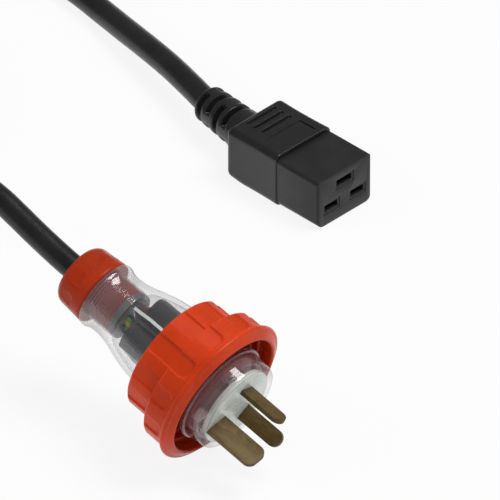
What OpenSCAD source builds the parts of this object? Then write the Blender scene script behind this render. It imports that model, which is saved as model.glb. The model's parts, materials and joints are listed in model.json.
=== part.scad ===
// Power lead with a moulded 16 A appliance connector and a weatherproof 15 A plug.
// Frame: +Z up, the connector lies flat with its mating face towards -Y.
// The origin is the middle of the connector's footprint, on the surface it rests on.
// All sizes are millimetres and degrees.

/* [Connector front] */
// Width of the front block
insert_w = 27; // [25:0.1:30]
// Height of the front block
insert_h = 19.8; // [18.5:0.1:21]
// Length of the front block ahead of the grip
insert_l = 20.5; // [19.6:0.1:26]
// Radius of the two long top edges
insert_r_top = 1.5; // [0.5:0.1:2]
// Radius of the two long bottom edges
insert_r_bottom = 3; // [2:0.1:4]
// Distance between the line and neutral slots
slot_spacing = 13; // [12.6:0.1:13.6]
// Height of the line and neutral slots above the block's underside
slot_height = 6.9; // [6:0.1:7.5]
// Height of the earth slot above the other two
earth_rise = 8; // [7.6:0.1:8.4]
// Width of the line and neutral slots
slot_w = 6.4; // [5.8:0.1:7]
// Width of the earth slot
earth_slot_w = 7.4; // [6.8:0.1:7.6]
// Opening height of every slot
slot_t = 2.6; // [2.2:0.1:2.8]
// Width of the lead-in frame round each slot
lead_in = 0.9; // [0.4:0.1:1.2]
// Thickness of the front wall
front_wall = 1.8; // [1.5:0.1:2.4]
// Radius where the front face meets the sides
front_r = 1; // [0.4:0.1:1.4]

/* [Contacts] */
// Outside width of a contact's sleeve
contact_w = 8.6; // [8.4:0.1:9]
// Outside height of a contact's sleeve
contact_h = 4; // [3.8:0.1:4.2]
// Length of a contact's sleeve
contact_l = 11; // [9:0.1:12]
// Thickness of the contact strip
strip_t = 0.5; // [0.3:0.1:0.6]
// Length of the neck between sleeve and crimp
neck_l = 4.4; // [3.6:0.1:5]
// Outside diameter of a crimp barrel
crimp_d = 3.8; // [3.6:0.1:4]
// Length of a crimp barrel
crimp_l = 7; // [6:0.1:8]
// Clearance between a contact and its pocket
contact_gap = 0.2; // [0.1:0.05:0.3]

/* [Grip] */
// Width of the grip
grip_w = 27.7; // [27.4:0.1:31]
// Height of the grip
grip_h = 22; // [21.4:0.1:24]
// Length of the grip
grip_l = 25; // [24:0.1:32]
// Radius of the grip's long top edges
grip_r_top = 2.6; // [1:0.1:3]
// Radius of the grip's long bottom edges
grip_r_bottom = 3; // [2:0.1:4]
// Step from the grip down to the block at the underside
step_bottom = 0.6; // [0.3:0.1:1]
// Depth of the waist in each side
waist = 0.35; // [0.1:0.05:0.6]
// How far the underside rises at the back
back_rise = 1.2; // [0.5:0.1:2]
// Length of the grip over which the underside rises
rise_l = 9; // [6:0.1:12]
// Number of finger grooves across the top
groove_n = 3; // [1:1:3]
// Length of a finger groove
groove_l = 14; // [10:0.1:16]
// Width of a finger groove
groove_w = 1.6; // [0.8:0.1:2]
// Depth of a finger groove
groove_depth = 0.8; // [0.2:0.1:1]
// Distance from one finger groove to the next
groove_pitch = 3.7; // [3:0.1:4]
// Distance from the step to the first finger groove
groove_first = 14.6; // [13:0.1:15]

/* [Strain relief] */
// Length of the strain relief from its root inside the grip
relief_l = 28.4; // [26:0.1:34]
// Diameter of the strain relief at the grip
relief_d1 = 16.2; // [14.6:0.1:17]
// Diameter of the strain relief at the cord
relief_d2 = 13.8; // [12.4:0.1:14]
// Angle at which the strain relief leans to the right
relief_yaw = 8; // [0:0.5:8]
// Number of slotted rows
relief_rows = 4; // [2:1:4]
// Distance from one slotted row to the next
relief_pitch = 4.8; // [4:0.1:5]
// Width of a slot in the strain relief
relief_slot = 2; // [1.2:0.1:2.2]

/* [Cord] */
// Diameter of the cord
cord_d = 9.2; // [8.8:0.1:9.6]
// Diameter of an insulated conductor
core_d = 2.8; // [2.4:0.1:2.9]
// Mean radius of the coil's outermost turn
coil_r = 59.6; // [56:0.1:64]
// Width and thickness of the coil's tie
tie_w = 10; // [6:1:16]
tie_t = 0.8; // [0.6:0.1:1.2]

/* [Plug place] */
// Sideways place of the middle of the plug's face
plug_x = -132.6; // [-140:0.1:-126]
// Lengthwise place of the middle of the plug's face
plug_y = -114.7; // [-120:0.1:-108]
// Angle at which the plug points down
plug_pitch = 17; // [16:0.5:18]
// Angle at which the plug points to the right
plug_yaw = 3; // [2:0.5:4]
// Turn of the earth pin about the plug's axis
pin_roll = 193; // [180:1:200]
// Turn of the terminals about the plug's axis
terminal_roll = 172; // [168:1:178]

/* [Plug shells] */
// Radius of the clear nose at its face
nose_r = 18; // [17.6:0.1:18.4]
// Radius of the pale face plate
plate_r = 15.1; // [14.9:0.05:15.2]
// Depth of the face plate behind the rim's front
plate_z = 0.7; // [0.5:0.1:1]
// Thickness of the face plate
plate_t = 2.2; // [2:0.1:2.4]
// Wall of the clear nose
nose_wall = 1.9; // [1.6:0.1:2.2]
// Radius of the rim round the nose
rim_r = 19.3; // [19:0.1:19.6]
// Depth of that rim behind the face
rim_z = 8.3; // [7.8:0.1:8.6]
// Radius of the flanges that the locking ring turns on
flange_r = 20.3; // [20:0.1:20.6]
// Radius of the apron that a socket's shroud seals on
apron_r = 23.7; // [22:0.1:23.7]
// Depth of the apron's front behind the face
apron_z = 17.4; // [17:0.1:17.8]
// Depth of the flanges' front behind the face
flange_z = 22; // [21.8:0.1:22.4]
// Thickness of each flange
flange_t = 3.7; // [3.4:0.1:4]
// Depth of the clear neck's rear end behind the face
neck_end = 65.5; // [64.5:0.1:66.5]
// Bore radius of the clear neck
neck_bore = 9.3; // [9.1:0.05:9.5]
// Thickness of the gasket between the two clear shells
gasket_t = 0.6; // [0.4:0.1:0.8]

/* [Locking ring] */
// Radius of the ring's rolled front lip
lip_r = 28.8; // [28:0.1:30]
// Depth of the lip's front behind the face
lip_z = 8.5; // [8:0.1:9]
// Thickness of the lip
lip_t = 2.5; // [2:0.1:3]
// Radius of the front grip
ring_front_r = 27.2; // [26.6:0.1:27.6]
// Radius of the rear grip
ring_rear_r = 23; // [22.6:0.1:23.4]
// Radius inside the ring's front
ring_bore = 24.6; // [24.2:0.1:25]
// Depth of the step between the grips
ring_step_z = 20.3; // [19.8:0.1:20.8]
// Depth of the ring's rear face
ring_back_z = 32.5; // [32:0.1:34]
// Number of grip pads round the ring
pad_n = 12; // [8:1:14]
// Depth of the valleys between the pads
pad_depth = 0.9; // [0.4:0.1:1]
// Width of a valley between two pads
valley_w = 7.6; // [5:0.1:9]
// Running clearance of the ring and the nut
turn_gap = 0.3; // [0.2:0.05:0.35]

/* [Gland] */
// Radius of the gland nut at its front
nut_r = 12.6; // [12.4:0.1:13.6]
// Length of the gland nut's head
nut_l = 12.6; // [11.5:0.1:13.5]
// Length of the nut's threaded sleeve inside the neck
sleeve_l = 10.9; // [10:0.1:11.2]
// Number of valleys round the nut
nut_n = 8; // [6:1:10]
// Width of a valley in the nut
nut_valley_w = 5.6; // [4:0.1:6.4]
// Depth of a valley in the nut
nut_valley_depth = 0.7; // [0.4:0.1:1]
// Clearance round the cord where it enters the nut
entry_gap = 0.5; // [0.4:0.05:0.8]
// Thickness of the slip washer
washer_t = 1; // [0.8:0.1:1.4]

/* [Pins and terminals] */
// Thickness of every pin
pin_t = 1.63; // [1.5:0.01:1.8]
// Width of the line and neutral pins
live_w = 6.35; // [6:0.05:6.6]
// Length of the line and neutral pins ahead of the face
live_l = 17.35; // [16.5:0.05:18]
// Radius at which the line and neutral pins stand
live_place = 7.92; // [7.7:0.01:8.2]
// Width of the earth pin
earth_w = 9.08; // [8.6:0.02:9.4]
// Length of the earth pin ahead of the face
earth_l = 19.94; // [19:0.02:21]
// Radius at which the earth pin stands
earth_place = 10.31; // [10.1:0.01:10.5]
// Radius at which the terminals stand
terminal_place = 7.6; // [7.4:0.05:7.8]
// Radius of one terminal tower
tower_r = 5.4; // [5.2:0.05:5.6]
// Depth of the towers' rear behind the face
tower_end = 46.5; // [45.5:0.1:47]
// Diameter of a pin's shank
shank_d = 5; // [4.6:0.1:5.2]
// Radius at which the carrier screws stand
screw_place = 12.3; // [12.2:0.05:12.5]

/* [Hidden] */

$fn = 64;
eps = 0.01;
cord_r = cord_d / 2;
core_r = core_d / 2;

// --- connector, front to back along Y
relief_root = 2;
relief_end_r = 1.2;
relief_lip = 2;
overall_l = insert_l + grip_l - relief_root + relief_end_r
    + (relief_l - relief_end_r) * cos(relief_yaw)
    + (relief_d2 / 2 - relief_end_r) * sin(relief_yaw);
y_front = -overall_l / 2;
y_step = y_front + insert_l;
y_back = y_step + grip_l;
y_root = y_back - relief_root;
z_axis = grip_h / 2;
slot_z = step_bottom + slot_height;
lead_in_depth = 0.35;

// --- what the grip holds inside
core_gap = 0.9;
waist_end = 1;
tongue_l = 5;
tongue_side = 1;
tongue_edge = 1.4;
bridge_l = 5;
bridge_w = slot_spacing + 8;
bridge_h = earth_rise + 6;
pocket_w = contact_w + 2 * contact_gap;
pocket_h = contact_h + 2 * contact_gap;
contact_set = 3.2;
contact_y = y_front + front_wall + contact_set;
crimp_y = contact_y + contact_l + neck_l;
bridge_y = y_step + tongue_l;
crimp_gap = 0.1;
funnel_y = bridge_y + bridge_l;
funnel_r = 9.4;
funnel_lip = 0.6;
funnel_lead = 1;
CONTACTS = [
    [-slot_spacing / 2, slot_z, slot_w],
    [slot_spacing / 2, slot_z, slot_w],
    [0, slot_z + earth_rise, earth_slot_w],
];

// --- plug, depths along its axis behind the face, which is 0; +Z leaves the face
mouth_lip = 0.4;
valley_front = lip_z + lip_t + 1.2;
ring_turn = 12.5;
nut_turn = 3;
nut_valley_front = 4.6;
lip_bead = lip_t / 2;
plug_z = (lip_r - lip_bead) * cos(plug_pitch) + lip_bead
    - (lip_z + lip_bead) * sin(plug_pitch);
nose_bore = nose_r - nose_wall + 0.3;
barrel_r = nose_r + 0.7;
apron_t = 1.4;
flange_back = flange_z + flange_t;
rear_flange = flange_back + gasket_t;
rear_flange_back = rear_flange + flange_t - 0.3;
skirt_r = nose_r;
rear_root_r = 17.7;
skirt_gap = 0.15;
plate_bore = plate_r + 0.1;
ledge_z = plate_z + plate_t;
ledge_back = ledge_z + 1.4;
ledge_r = plate_r - 0.9;
hub_r = 9.5;
hub_z = ledge_z + 0.1;
screw_top = ledge_back + 0.2;
screw_head_t = 1.6;
boss_z = screw_top + screw_head_t;
boss_r = 3;
carrier_z = 8.3;
carrier_t = 3;
carrier_r = nose_bore - 0.2;
carrier_back = carrier_z + carrier_t;
foot_r = 4.4;
foot_t = 2.2;
shank_end = 36;
terminal_bore = 1.5;
terminal_bore_l = 8;
terminal_screw_z = 32;
slot_clear = 0.05;
neck_shoulder = neck_end - 13.5;
shoulder_t = 1.2;
nut_front = neck_end + 0.2;
nut_back = nut_front + nut_l;
nut_wall = 4.3;
nut_cavity = 7.6;
sleeve_r = neck_bore - 0.2;
sheath_end = neck_shoulder + 1;
entry_r = cord_r + entry_gap;
screw_head_r = 2.5;
barrier_t = 1.2;
screw_r = 1.4;

// --- coil
coil_x = -100;
coil_y = 142;
coil_pitch = 9.3;
coil_layer = 8.2;
coil_in_r = coil_r - 2 * coil_pitch;
coil_top = tie_t + cord_d + coil_layer;
tie_clear = 0.2;
tie_angle = 130;
tie_bow = tie_w * tie_w / 8 / (coil_in_r - cord_r - 1);

// Route of the cord from the strain relief to the coil: inside the relief it follows
// the relief's axis, and from there it comes down to the surface and round to the left.
FRONT_ROUTE = concat([relief_point(0), relief_point(relief_l)], [
    [7, 47, 10.9], [11, 61, 10.2], [15.3, 77, 8.6], [19.5, 93, 6.6], [23.3, 108, 5],
    [26, 123, 4.6], [27, 139, 4.6], [24, 155, 4.6], [17, 170, 4.6], [5, 183, 4.6],
    [-11, 192, 4.6], [-28, 197.5, 4.6], [-46, 200.5, 4.8], [-63, 201.5, 5.2],
    [-78, 201.6, 5.4],
]);
// Route of the cord from inside the plug, back along its axis, over and down to the coil.
REAR_ROUTE = concat([plug_point(sheath_end), plug_point(nut_back), plug_point(nut_back + 8)], [
    [-137, -20, 53.8], [-136.8, -10, 57], [-136.8, -1, 59.8], [-137.4, 15, 63],
    [-138.8, 32, 62.8], [-140.8, 49, 58.5], [-143.4, 65, 51.2], [-146.2, 80, 42.6],
    [-149.2, 95, 33.6], [-152, 111, 25.2], [-154.2, 127, 19], [-155, 142, 15.6],
]);

// A point on the strain relief's axis, at distance d from its root
function relief_point(d) = [d * sin(relief_yaw), y_root + d * cos(relief_yaw), z_axis];
// A point on the plug's axis, at depth d behind its face
function plug_point(d) = [plug_x, plug_y, plug_z]
    - d * [sin(plug_yaw) * cos(plug_pitch), -cos(plug_yaw) * cos(plug_pitch), -sin(plug_pitch)];

function unit(v) = v / norm(v);
// Direction of a route at its point i, the mean of the two stretches that meet there
function heading(p, i) = let (n = len(p))
    i == 0 ? unit(p[1] - p[0]) :
    i == n - 1 ? unit(p[n - 1] - p[n - 2]) :
    unit(unit(p[i] - p[i - 1]) + unit(p[i + 1] - p[i]));
// One ring of the tube: k points of radius r about point c, square to direction t
function ring_at(c, t, r, k) = let (s = unit(cross(t, [0, 0, 1])), u = cross(s, t))
    [for (j = [0:k - 1]) c + r * (cos(360 * j / k) * s + sin(360 * j / k) * u)];
// The same for a core, whose route lies along the plug's or connector's own axis
function core_ring(c, t, r, k) = let (s = unit(cross(t, [1, 0.3, 0])), u = cross(s, t))
    [for (j = [0:k - 1]) c + r * (cos(360 * j / k) * s + sin(360 * j / k) * u)];

module tube(p, r, k, flat = true) {
    n = len(p);
    points = [for (i = [0:n - 1])
        each flat ? ring_at(p[i], heading(p, i), r, k) : core_ring(p[i], heading(p, i), r, k)];
    sides = [for (i = [0:n - 2], j = [0:k - 1])
        [i * k + j, i * k + (j + 1) % k, (i + 1) * k + (j + 1) % k, (i + 1) * k + j]];
    start = [for (j = [0:k - 1]) k - 1 - j];
    end = [for (j = [0:k - 1]) (n - 1) * k + j];
    polyhedron(points, concat([start], sides, [end]), convexity = 4);
}

// A flat outline w wide and h high on the X axis, with its own top and bottom corner radii
module block_outline(w, h, r_top, r_bottom) {
    translate([-w / 2, r_bottom]) square([w, h - r_top - r_bottom]);
    translate([-w / 2 + r_top, h - r_top - eps]) square([w - 2 * r_top, r_top + eps]);
    translate([-w / 2 + r_bottom, 0]) square([w - 2 * r_bottom, r_bottom + eps]);
    for (s = [-1, 1]) {
        translate([s * (w / 2 - r_top), h - r_top]) circle(r_top);
        translate([s * (w / 2 - r_bottom), r_bottom]) circle(r_bottom);
    }
}

// What rounding takes off a square corner at the origin that fills the +X +Y quarter
module corner_waste(r) {
    difference() {
        translate([-1, -1]) square(r + 1);
        translate([r, r]) circle(r);
    }
}

// Extrudes an outline in X and Z along +Y, from y to y + l
module along_y(y, l) {
    translate([0, y + l, 0]) rotate([90, 0, 0]) linear_extrude(l) children();
}

// Puts a shape drawn on +Z onto the strain relief's axis
module on_relief() {
    translate(relief_point(0)) rotate([0, 0, -relief_yaw]) rotate([-90, 0, 0]) children();
}

// Puts a shape drawn in the plug's own frame, +Z out of its face, in its place
module on_plug(roll = 0) {
    translate([plug_x, plug_y, plug_z]) rotate([90 + plug_pitch, 0, plug_yaw])
        rotate([0, 0, roll]) children();
}

// --- connector ---------------------------------------------------------------

module front_block() {
    intersection() {
        translate([0, 0, step_bottom]) along_y(y_front, insert_l)
            block_outline(insert_w, insert_h, insert_r_top, insert_r_bottom);
        translate([0, 0, -1]) linear_extrude(grip_h + 2) difference() {
            translate([-insert_w, y_front]) square([2 * insert_w, insert_l]);
            for (s = [0, 1]) mirror([s, 0, 0])
                translate([-insert_w / 2, y_front]) corner_waste(front_r);
        }
    }
}

module contact_pocket(c) {
    translate([c[0] - c[2] / 2, y_front - 1, c[1] - slot_t / 2])
        cube([c[2], front_wall + 2, slot_t]);
    translate([c[0] - c[2] / 2 - lead_in, y_front - 1, c[1] - slot_t / 2 - lead_in])
        cube([c[2] + 2 * lead_in, 1 + lead_in_depth, slot_t + 2 * lead_in]);
    translate([c[0] - pocket_w / 2, y_front + front_wall, c[1] - pocket_h / 2])
        cube([pocket_w, insert_l + tongue_l, pocket_h]);
}

module contact_carrier() {
    color([0.20, 0.20, 0.21]) difference() {
        union() {
            front_block();
            translate([-insert_w / 2 + tongue_side, y_step - eps, step_bottom + tongue_edge])
                cube([insert_w - 2 * tongue_side, tongue_l + eps, insert_h - 2 * tongue_edge]);
        }
        for (c = CONTACTS) contact_pocket(c);
    }
}

module contact(c) {
    floor_z = c[1] - contact_h / 2;
    color([0.80, 0.66, 0.35]) {
        difference() {
            translate([c[0] - contact_w / 2, contact_y, floor_z])
                cube([contact_w, contact_l, contact_h]);
            translate([c[0] - contact_w / 2 + strip_t, contact_y - 1, floor_z + strip_t])
                cube([contact_w - 2 * strip_t, contact_l + 2, contact_h - 2 * strip_t]);
        }
        difference() {
            union() {
                translate([c[0] - crimp_d / 4, contact_y + contact_l - eps, floor_z])
                    cube([crimp_d / 2, neck_l + crimp_l / 2, strip_t]);
                translate([c[0], crimp_y, floor_z + crimp_d / 2])
                    rotate([-90, 0, 0]) cylinder(d = crimp_d, h = crimp_l);
            }
            translate([c[0], crimp_y - 1, floor_z + crimp_d / 2])
                rotate([-90, 0, 0]) cylinder(r = core_r + crimp_gap, h = crimp_l + 2);
        }
    }
}

// The three holes that the crimps pass through, out to y
module crimp_holes(y) {
    for (c = CONTACTS)
        translate([c[0], bridge_y - 1, c[1] - contact_h / 2 + crimp_d / 2])
            rotate([-90, 0, 0]) cylinder(r = crimp_d / 2 + crimp_gap, h = y - bridge_y + 2);
}

module contact_bridge() {
    color([0.93, 0.92, 0.88]) difference() {
        translate([-bridge_w / 2, bridge_y, z_axis - bridge_h / 2])
            cube([bridge_w, bridge_l, bridge_h]);
        crimp_holes(funnel_y);
    }
}

// The grip's side view, in Y and Z
module grip_side() {
    difference() {
        polygon([[y_step, 0], [y_back - rise_l, 0], [y_back, back_rise],
            [y_back, grip_h], [y_step, grip_h]]);
        translate([y_back, back_rise]) mirror([1, 0]) corner_waste(2.4);
        translate([y_back, grip_h]) mirror([1, 0]) mirror([0, 1]) corner_waste(1.8);
    }
}

// The grip's plan view, in X and Y, with waisted sides
module grip_plan() {
    half = grip_l / 2 - waist_end;
    waist_r = (half * half + waist * waist) / (2 * waist);
    difference() {
        translate([-grip_w / 2, y_step]) square([grip_w, grip_l]);
        for (s = [0, 1]) mirror([s, 0, 0]) {
            translate([grip_w / 2 + waist_r - waist, y_step + grip_l / 2])
                circle(waist_r, $fn = 256);
            translate([-grip_w / 2 - eps, y_back]) mirror([0, 1]) corner_waste(2.2);
        }
    }
}

module relief_body() {
    r1 = relief_d1 / 2;
    r2 = relief_d2 / 2;
    rotate_extrude() {
        polygon([[0, 0], [r1, 0], [r2, relief_l - relief_end_r],
            [r2 - relief_end_r, relief_l - relief_end_r], [r2 - relief_end_r, relief_l],
            [0, relief_l]]);
        translate([r2 - relief_end_r, relief_l - relief_end_r]) circle(relief_end_r);
    }
}

// One row of two opposite slots across the strain relief, at height z on its axis
module relief_slots(z, turn) {
    bridge_half = 2.5;
    floor_t = 1.2;
    rotate([0, 0, turn]) intersection() {
        translate([0, 0, z]) difference() {
            cylinder(r = relief_d1, h = relief_slot);
            translate([0, 0, -1]) cylinder(r = cord_r + floor_t, h = relief_slot + 2);
        }
        for (s = [0, 1]) mirror([s, 0, 0])
            translate([bridge_half, -relief_d1, z - 1]) cube([relief_d1, 2 * relief_d1, relief_slot + 2]);
    }
}

// A groove with round ends, centred, running along X and cut down from the grip's top
module finger_groove(y) {
    half = (groove_l - groove_w) / 2;
    translate([-half, y - groove_w / 2, grip_h - groove_depth]) cube([2 * half, groove_w, 2]);
    for (s = [-1, 1]) translate([s * half, y, grip_h - groove_depth])
        cylinder(d = groove_w, h = 2);
}

// A fine line that frames the place where a rating would be moulded
module panel_line() {
    line_w = 0.6;
    line_depth = 0.4;
    y1 = y_step + 10.6;
    y0 = y_step + 3.3;
    x0 = -grip_w / 2 + 5;
    x1 = -grip_w / 2 + 21;
    translate([x0, y1, grip_h - line_depth]) cube([x1 - x0, line_w, 1]);
    translate([x1 - line_w, y0, grip_h - line_depth]) cube([line_w, y1 - y0 + line_w, 1]);
}

module overmould() {
    color([0.20, 0.20, 0.21]) difference() {
        union() {
            intersection() {
                along_y(y_step, grip_l) block_outline(grip_w, grip_h, grip_r_top, grip_r_bottom);
                translate([0, 0, -1]) linear_extrude(grip_h + 2) grip_plan();
                translate([-grip_w, 0, 0]) rotate([90, 0, 90]) linear_extrude(2 * grip_w) grip_side();
            }
            on_relief() relief_body();
        }
        translate([-insert_w / 2 + tongue_side, y_step - 1, step_bottom + tongue_edge])
            cube([insert_w - 2 * tongue_side, tongue_l + 1, insert_h - 2 * tongue_edge]);
        translate([-bridge_w / 2, bridge_y - eps, z_axis - bridge_h / 2])
            cube([bridge_w, bridge_l + eps, bridge_h]);
        translate([0, funnel_y - eps, z_axis]) rotate([-90, 0, 0])
            cylinder(r1 = funnel_r, r2 = cord_r + funnel_lip, h = y_root - funnel_y + eps);
        on_relief() translate([0, 0, -funnel_lead]) cylinder(r = cord_r, h = relief_l + 2 * funnel_lead);
        on_relief() for (i = [0:relief_rows - 1])
            relief_slots(relief_l - relief_slot - relief_lip - i * relief_pitch, i % 2 == 0 ? 0 : 90);
        for (i = [0:groove_n - 1]) finger_groove(y_step + groove_first + i * groove_pitch);
        panel_line();
    }
}

// An insulated conductor from the cord's sheath into contact c's crimp
module connector_core(c, turn) {
    lay = 2.3;
    z = c[1] - contact_h / 2 + crimp_d / 2;
    start = [lay * cos(turn), y_root - core_gap, z_axis + lay * sin(turn)];
    end = [c[0], funnel_y + 0.5, z];
    bend = [for (u = [0:0.2:1]) let (s = u * u * (3 - 2 * u))
        [start[0] + (end[0] - start[0]) * s, start[1] + (end[1] - start[1]) * u,
            start[2] + (end[2] - start[2]) * s]];
    tube(concat(bend, [[c[0], crimp_y + crimp_l - 3, z]]), core_r, 8);
}

module line_core() { color([0.45, 0.26, 0.15]) connector_core(CONTACTS[0], 210); }
module neutral_core() { color([0.15, 0.35, 0.72]) connector_core(CONTACTS[1], 330); }
module earth_core() { color([0.35, 0.62, 0.18]) connector_core(CONTACTS[2], 90); }

// --- cord --------------------------------------------------------------------

module lead_front() { color([0.10, 0.10, 0.10]) tube(FRONT_ROUTE, cord_r, 10); }
module lead_rear() { color([0.10, 0.10, 0.10]) tube(REAR_ROUTE, cord_r, 10); }

// The section of the coil's turns, three under two, grown by g, with its underside at low and
// its inner side moved in by bow
function coil_section(g, low, bow) = let (
        inner = coil_in_r - bow,
        lean = atan(cord_r / coil_layer),
        side = cord_r + g,
        shoulder = tie_t + cord_d + g * tan(lean / 2),
        top = g * tan((90 - lean) / 2))
    [
        [inner - side, low], [coil_r + side, low], [coil_r + side, shoulder],
        [coil_r + top, coil_top + g], [inner - top, coil_top + g], [inner - side, shoulder],
    ];

module cord_coil() {
    color([0.10, 0.10, 0.10]) translate([coil_x, coil_y, 0])
        rotate_extrude($fn = 128) polygon(coil_section(0, tie_t, 0));
}

module coil_tie() {
    color([0.08, 0.08, 0.08]) translate([coil_x, coil_y, 0]) rotate([90, 0, tie_angle])
        translate([0, 0, -tie_w / 2]) linear_extrude(tie_w) difference() {
            polygon(coil_section(tie_clear + tie_t, 0, tie_bow));
            polygon(coil_section(tie_clear, tie_t, tie_bow));
        }
}

// --- plug --------------------------------------------------------------------

module front_shell() {
    root_z = flange_back + 3.2;
    bead_out = nose_r - 0.6;
    bead = (bead_out - plate_bore) / 2;
    // The rim's rounded front, from its bore to its outside
    front = [for (a = [180:-15:0])
        [plate_bore + bead + bead * cos(a), bead * sin(a) - bead]];
    color([0.86, 0.90, 0.92, 0.35]) on_plug() difference() {
        rotate_extrude() polygon(concat(front, [
            [nose_r + 0.4, -rim_z], [rim_r, -rim_z], [rim_r, -rim_z - 1.2],
            [barrel_r, -rim_z - 1.2], [barrel_r, -apron_z],
            [apron_r, -apron_z], [apron_r, -apron_z - apron_t], [barrel_r, -apron_z - apron_t],
            [barrel_r, -flange_z], [flange_r, -flange_z], [flange_r, -flange_back],
            [skirt_r, -flange_back], [skirt_r, -root_z], [nose_bore, -root_z],
            [nose_bore, -ledge_back], [ledge_r, -ledge_back], [ledge_r, -ledge_z],
            [plate_bore, -ledge_z],
        ]));
        pin_slots();
    }
}

module face_plate() {
    color([0.90, 0.93, 0.90]) on_plug() difference() {
        translate([0, 0, -ledge_z]) cylinder(r = plate_r, h = plate_t);
        pin_slots();
    }
}

// The three pins' slots through the face plate and the carrier, wider by grow
module pin_slots(z2 = 1, z1 = carrier_back + 1, grow = slot_clear) {
    for (t = [0, 120, 240]) rotate([0, 0, pin_roll + t])
        pin_bar(t == 0 ? earth_place : live_place, t == 0 ? earth_w : pin_t,
            t == 0 ? pin_t : live_w, z2, z1, grow);
}

// A bar centred at radius place, w along the radius and h across it, from depth z1 to height z2
module pin_bar(place, w, h, z2, z1, grow = 0) {
    translate([place - w / 2 - grow, -h / 2 - grow, -z1])
        cube([w + 2 * grow, h + 2 * grow, z1 + z2]);
}

module rear_shell() {
    color([0.86, 0.90, 0.92, 0.35]) on_plug() rotate_extrude() polygon([
        [flange_r, -rear_flange], [flange_r, -rear_flange_back], [rear_root_r, -rear_flange_back],
        [17, -34], [16.4, -38], [15.8, -42], [15, -45.5], [13.8, -49.5], [12.6, -53.5],
        [12, -57], [11.95, -60], [12.3, -62], [13, -63.5], [13, -neck_end],
        [neck_bore, -neck_end], [neck_bore, -neck_shoulder], [6.6, -neck_shoulder],
        [6.6, -neck_shoulder + shoulder_t], [11.2, -neck_shoulder + shoulder_t],
        [11.8, -49.5], [13.1, -45.5], [14, -42], [14.8, -38], [15.2, -rear_flange_back],
        [skirt_r + skirt_gap, -rear_flange_back], [skirt_r + skirt_gap, -rear_flange],
    ]);
}

module shell_gasket() {
    color([0.12, 0.12, 0.12]) on_plug() translate([0, 0, -rear_flange]) difference() {
        cylinder(r = flange_r - 0.1, h = gasket_t);
        translate([0, 0, -1]) cylinder(r = skirt_r + skirt_gap, h = gasket_t + 2);
    }
}

// One screw of a set of three, its head's top at depth z
module screw(z, l, slot_turn) {
    slot = 0.6;
    difference() {
        union() {
            translate([0, 0, -z - screw_head_t]) cylinder(r = screw_head_r, h = screw_head_t);
            translate([0, 0, -z - l]) cylinder(r = screw_r, h = l);
        }
        rotate([0, 0, slot_turn]) translate([-screw_head_r - 1, -slot / 2, -z - screw_head_t / 2])
            cube([2 * screw_head_r + 2, slot, screw_head_t]);
    }
}

// The places of the three carrier screws, a quarter of the way from one pin to the next
module screw_places() {
    for (t = [25, 145, 265]) rotate([0, 0, pin_roll + t]) translate([screw_place, 0, 0]) children();
}

module carrier_screws() {
    color([0.80, 0.80, 0.82]) on_plug() screw_places() screw(screw_top, 17, 30);
}

// The foot that joins a pin's blade to its shank, with its centre between the two
module pin_foot(place, grow = 0) {
    half = (pin_roll - terminal_roll) / 2;
    rotate([0, 0, -half]) translate([(place + terminal_place) / 2, 0, -carrier_back - grow])
        cylinder(r = foot_r + grow, h = foot_t + 2 * grow);
}

// A flange, with a hub and ribs round the pins and a boss for each screw ahead of it
module pin_carrier() {
    flat_place = carrier_r - 1.4;
    rib_t = 1.6;
    color([0.88, 0.92, 0.89]) on_plug() difference() {
        union() {
            translate([0, 0, -carrier_back]) cylinder(r = carrier_r, h = carrier_t);
            translate([0, 0, -carrier_z - eps]) cylinder(r = hub_r, h = carrier_z + eps - hub_z);
            intersection() {
                pin_slots(-screw_top, carrier_z + eps, rib_t);
                translate([0, 0, -carrier_back]) cylinder(r = carrier_r - 0.6, h = carrier_back);
            }
            screw_places() translate([0, 0, -carrier_z - eps])
                cylinder(r = boss_r, h = carrier_z + eps - boss_z);
        }
        pin_slots();
        for (t = [0, 120, 240]) rotate([0, 0, pin_roll + t]) {
            pin_foot(t == 0 ? earth_place : live_place, 0.1);
            rotate([0, 0, 60]) translate([flat_place, -carrier_r, -carrier_back - 1])
                cube([carrier_r, 2 * carrier_r, carrier_t + 2]);
        }
        screw_places() {
            translate([0, 0, -carrier_back - 1]) cylinder(r = screw_r + 0.1, h = carrier_back);
            translate([0, 0, -boss_z]) cylinder(r = screw_head_r + 0.1, h = boss_z);
        }
    }
}

module terminal_block() {
    base_back = shank_end - 7;
    color([0.21, 0.23, 0.24]) on_plug() difference() {
        union() {
            translate([0, 0, -base_back]) cylinder(r = nose_bore - 0.3, h = base_back - carrier_back);
            intersection() {
                for (t = [0, 120, 240]) rotate([0, 0, terminal_roll + t])
                    translate([terminal_place, 0, -tower_end])
                        cylinder(r = tower_r, h = tower_end - base_back + eps);
                translate([0, 0, -tower_end]) cylinder(r = 12.3, h = tower_end);
            }
        }
        for (t = [0, 120, 240]) rotate([0, 0, terminal_roll + t]) {
            translate([terminal_place, 0, -shank_end]) cylinder(d = shank_d + 0.1, h = shank_end);
            translate([terminal_place, 0, -tower_end - 1]) cylinder(r = core_r + 0.7, h = tower_end);
            translate([terminal_place, 0, -terminal_screw_z]) rotate([0, 90, 0])
                cylinder(r = screw_r + 0.1, h = 10);
            rotate([0, 0, 60]) translate([-0.5, -barrier_t / 2 - 0.1, -tower_end - 1])
                cube([carrier_r, barrier_t + 0.2, tower_end + 1 - base_back]);
        }
        screw_places() translate([0, 0, -base_back]) cylinder(r = screw_r + 0.1, h = base_back);
    }
}

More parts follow.
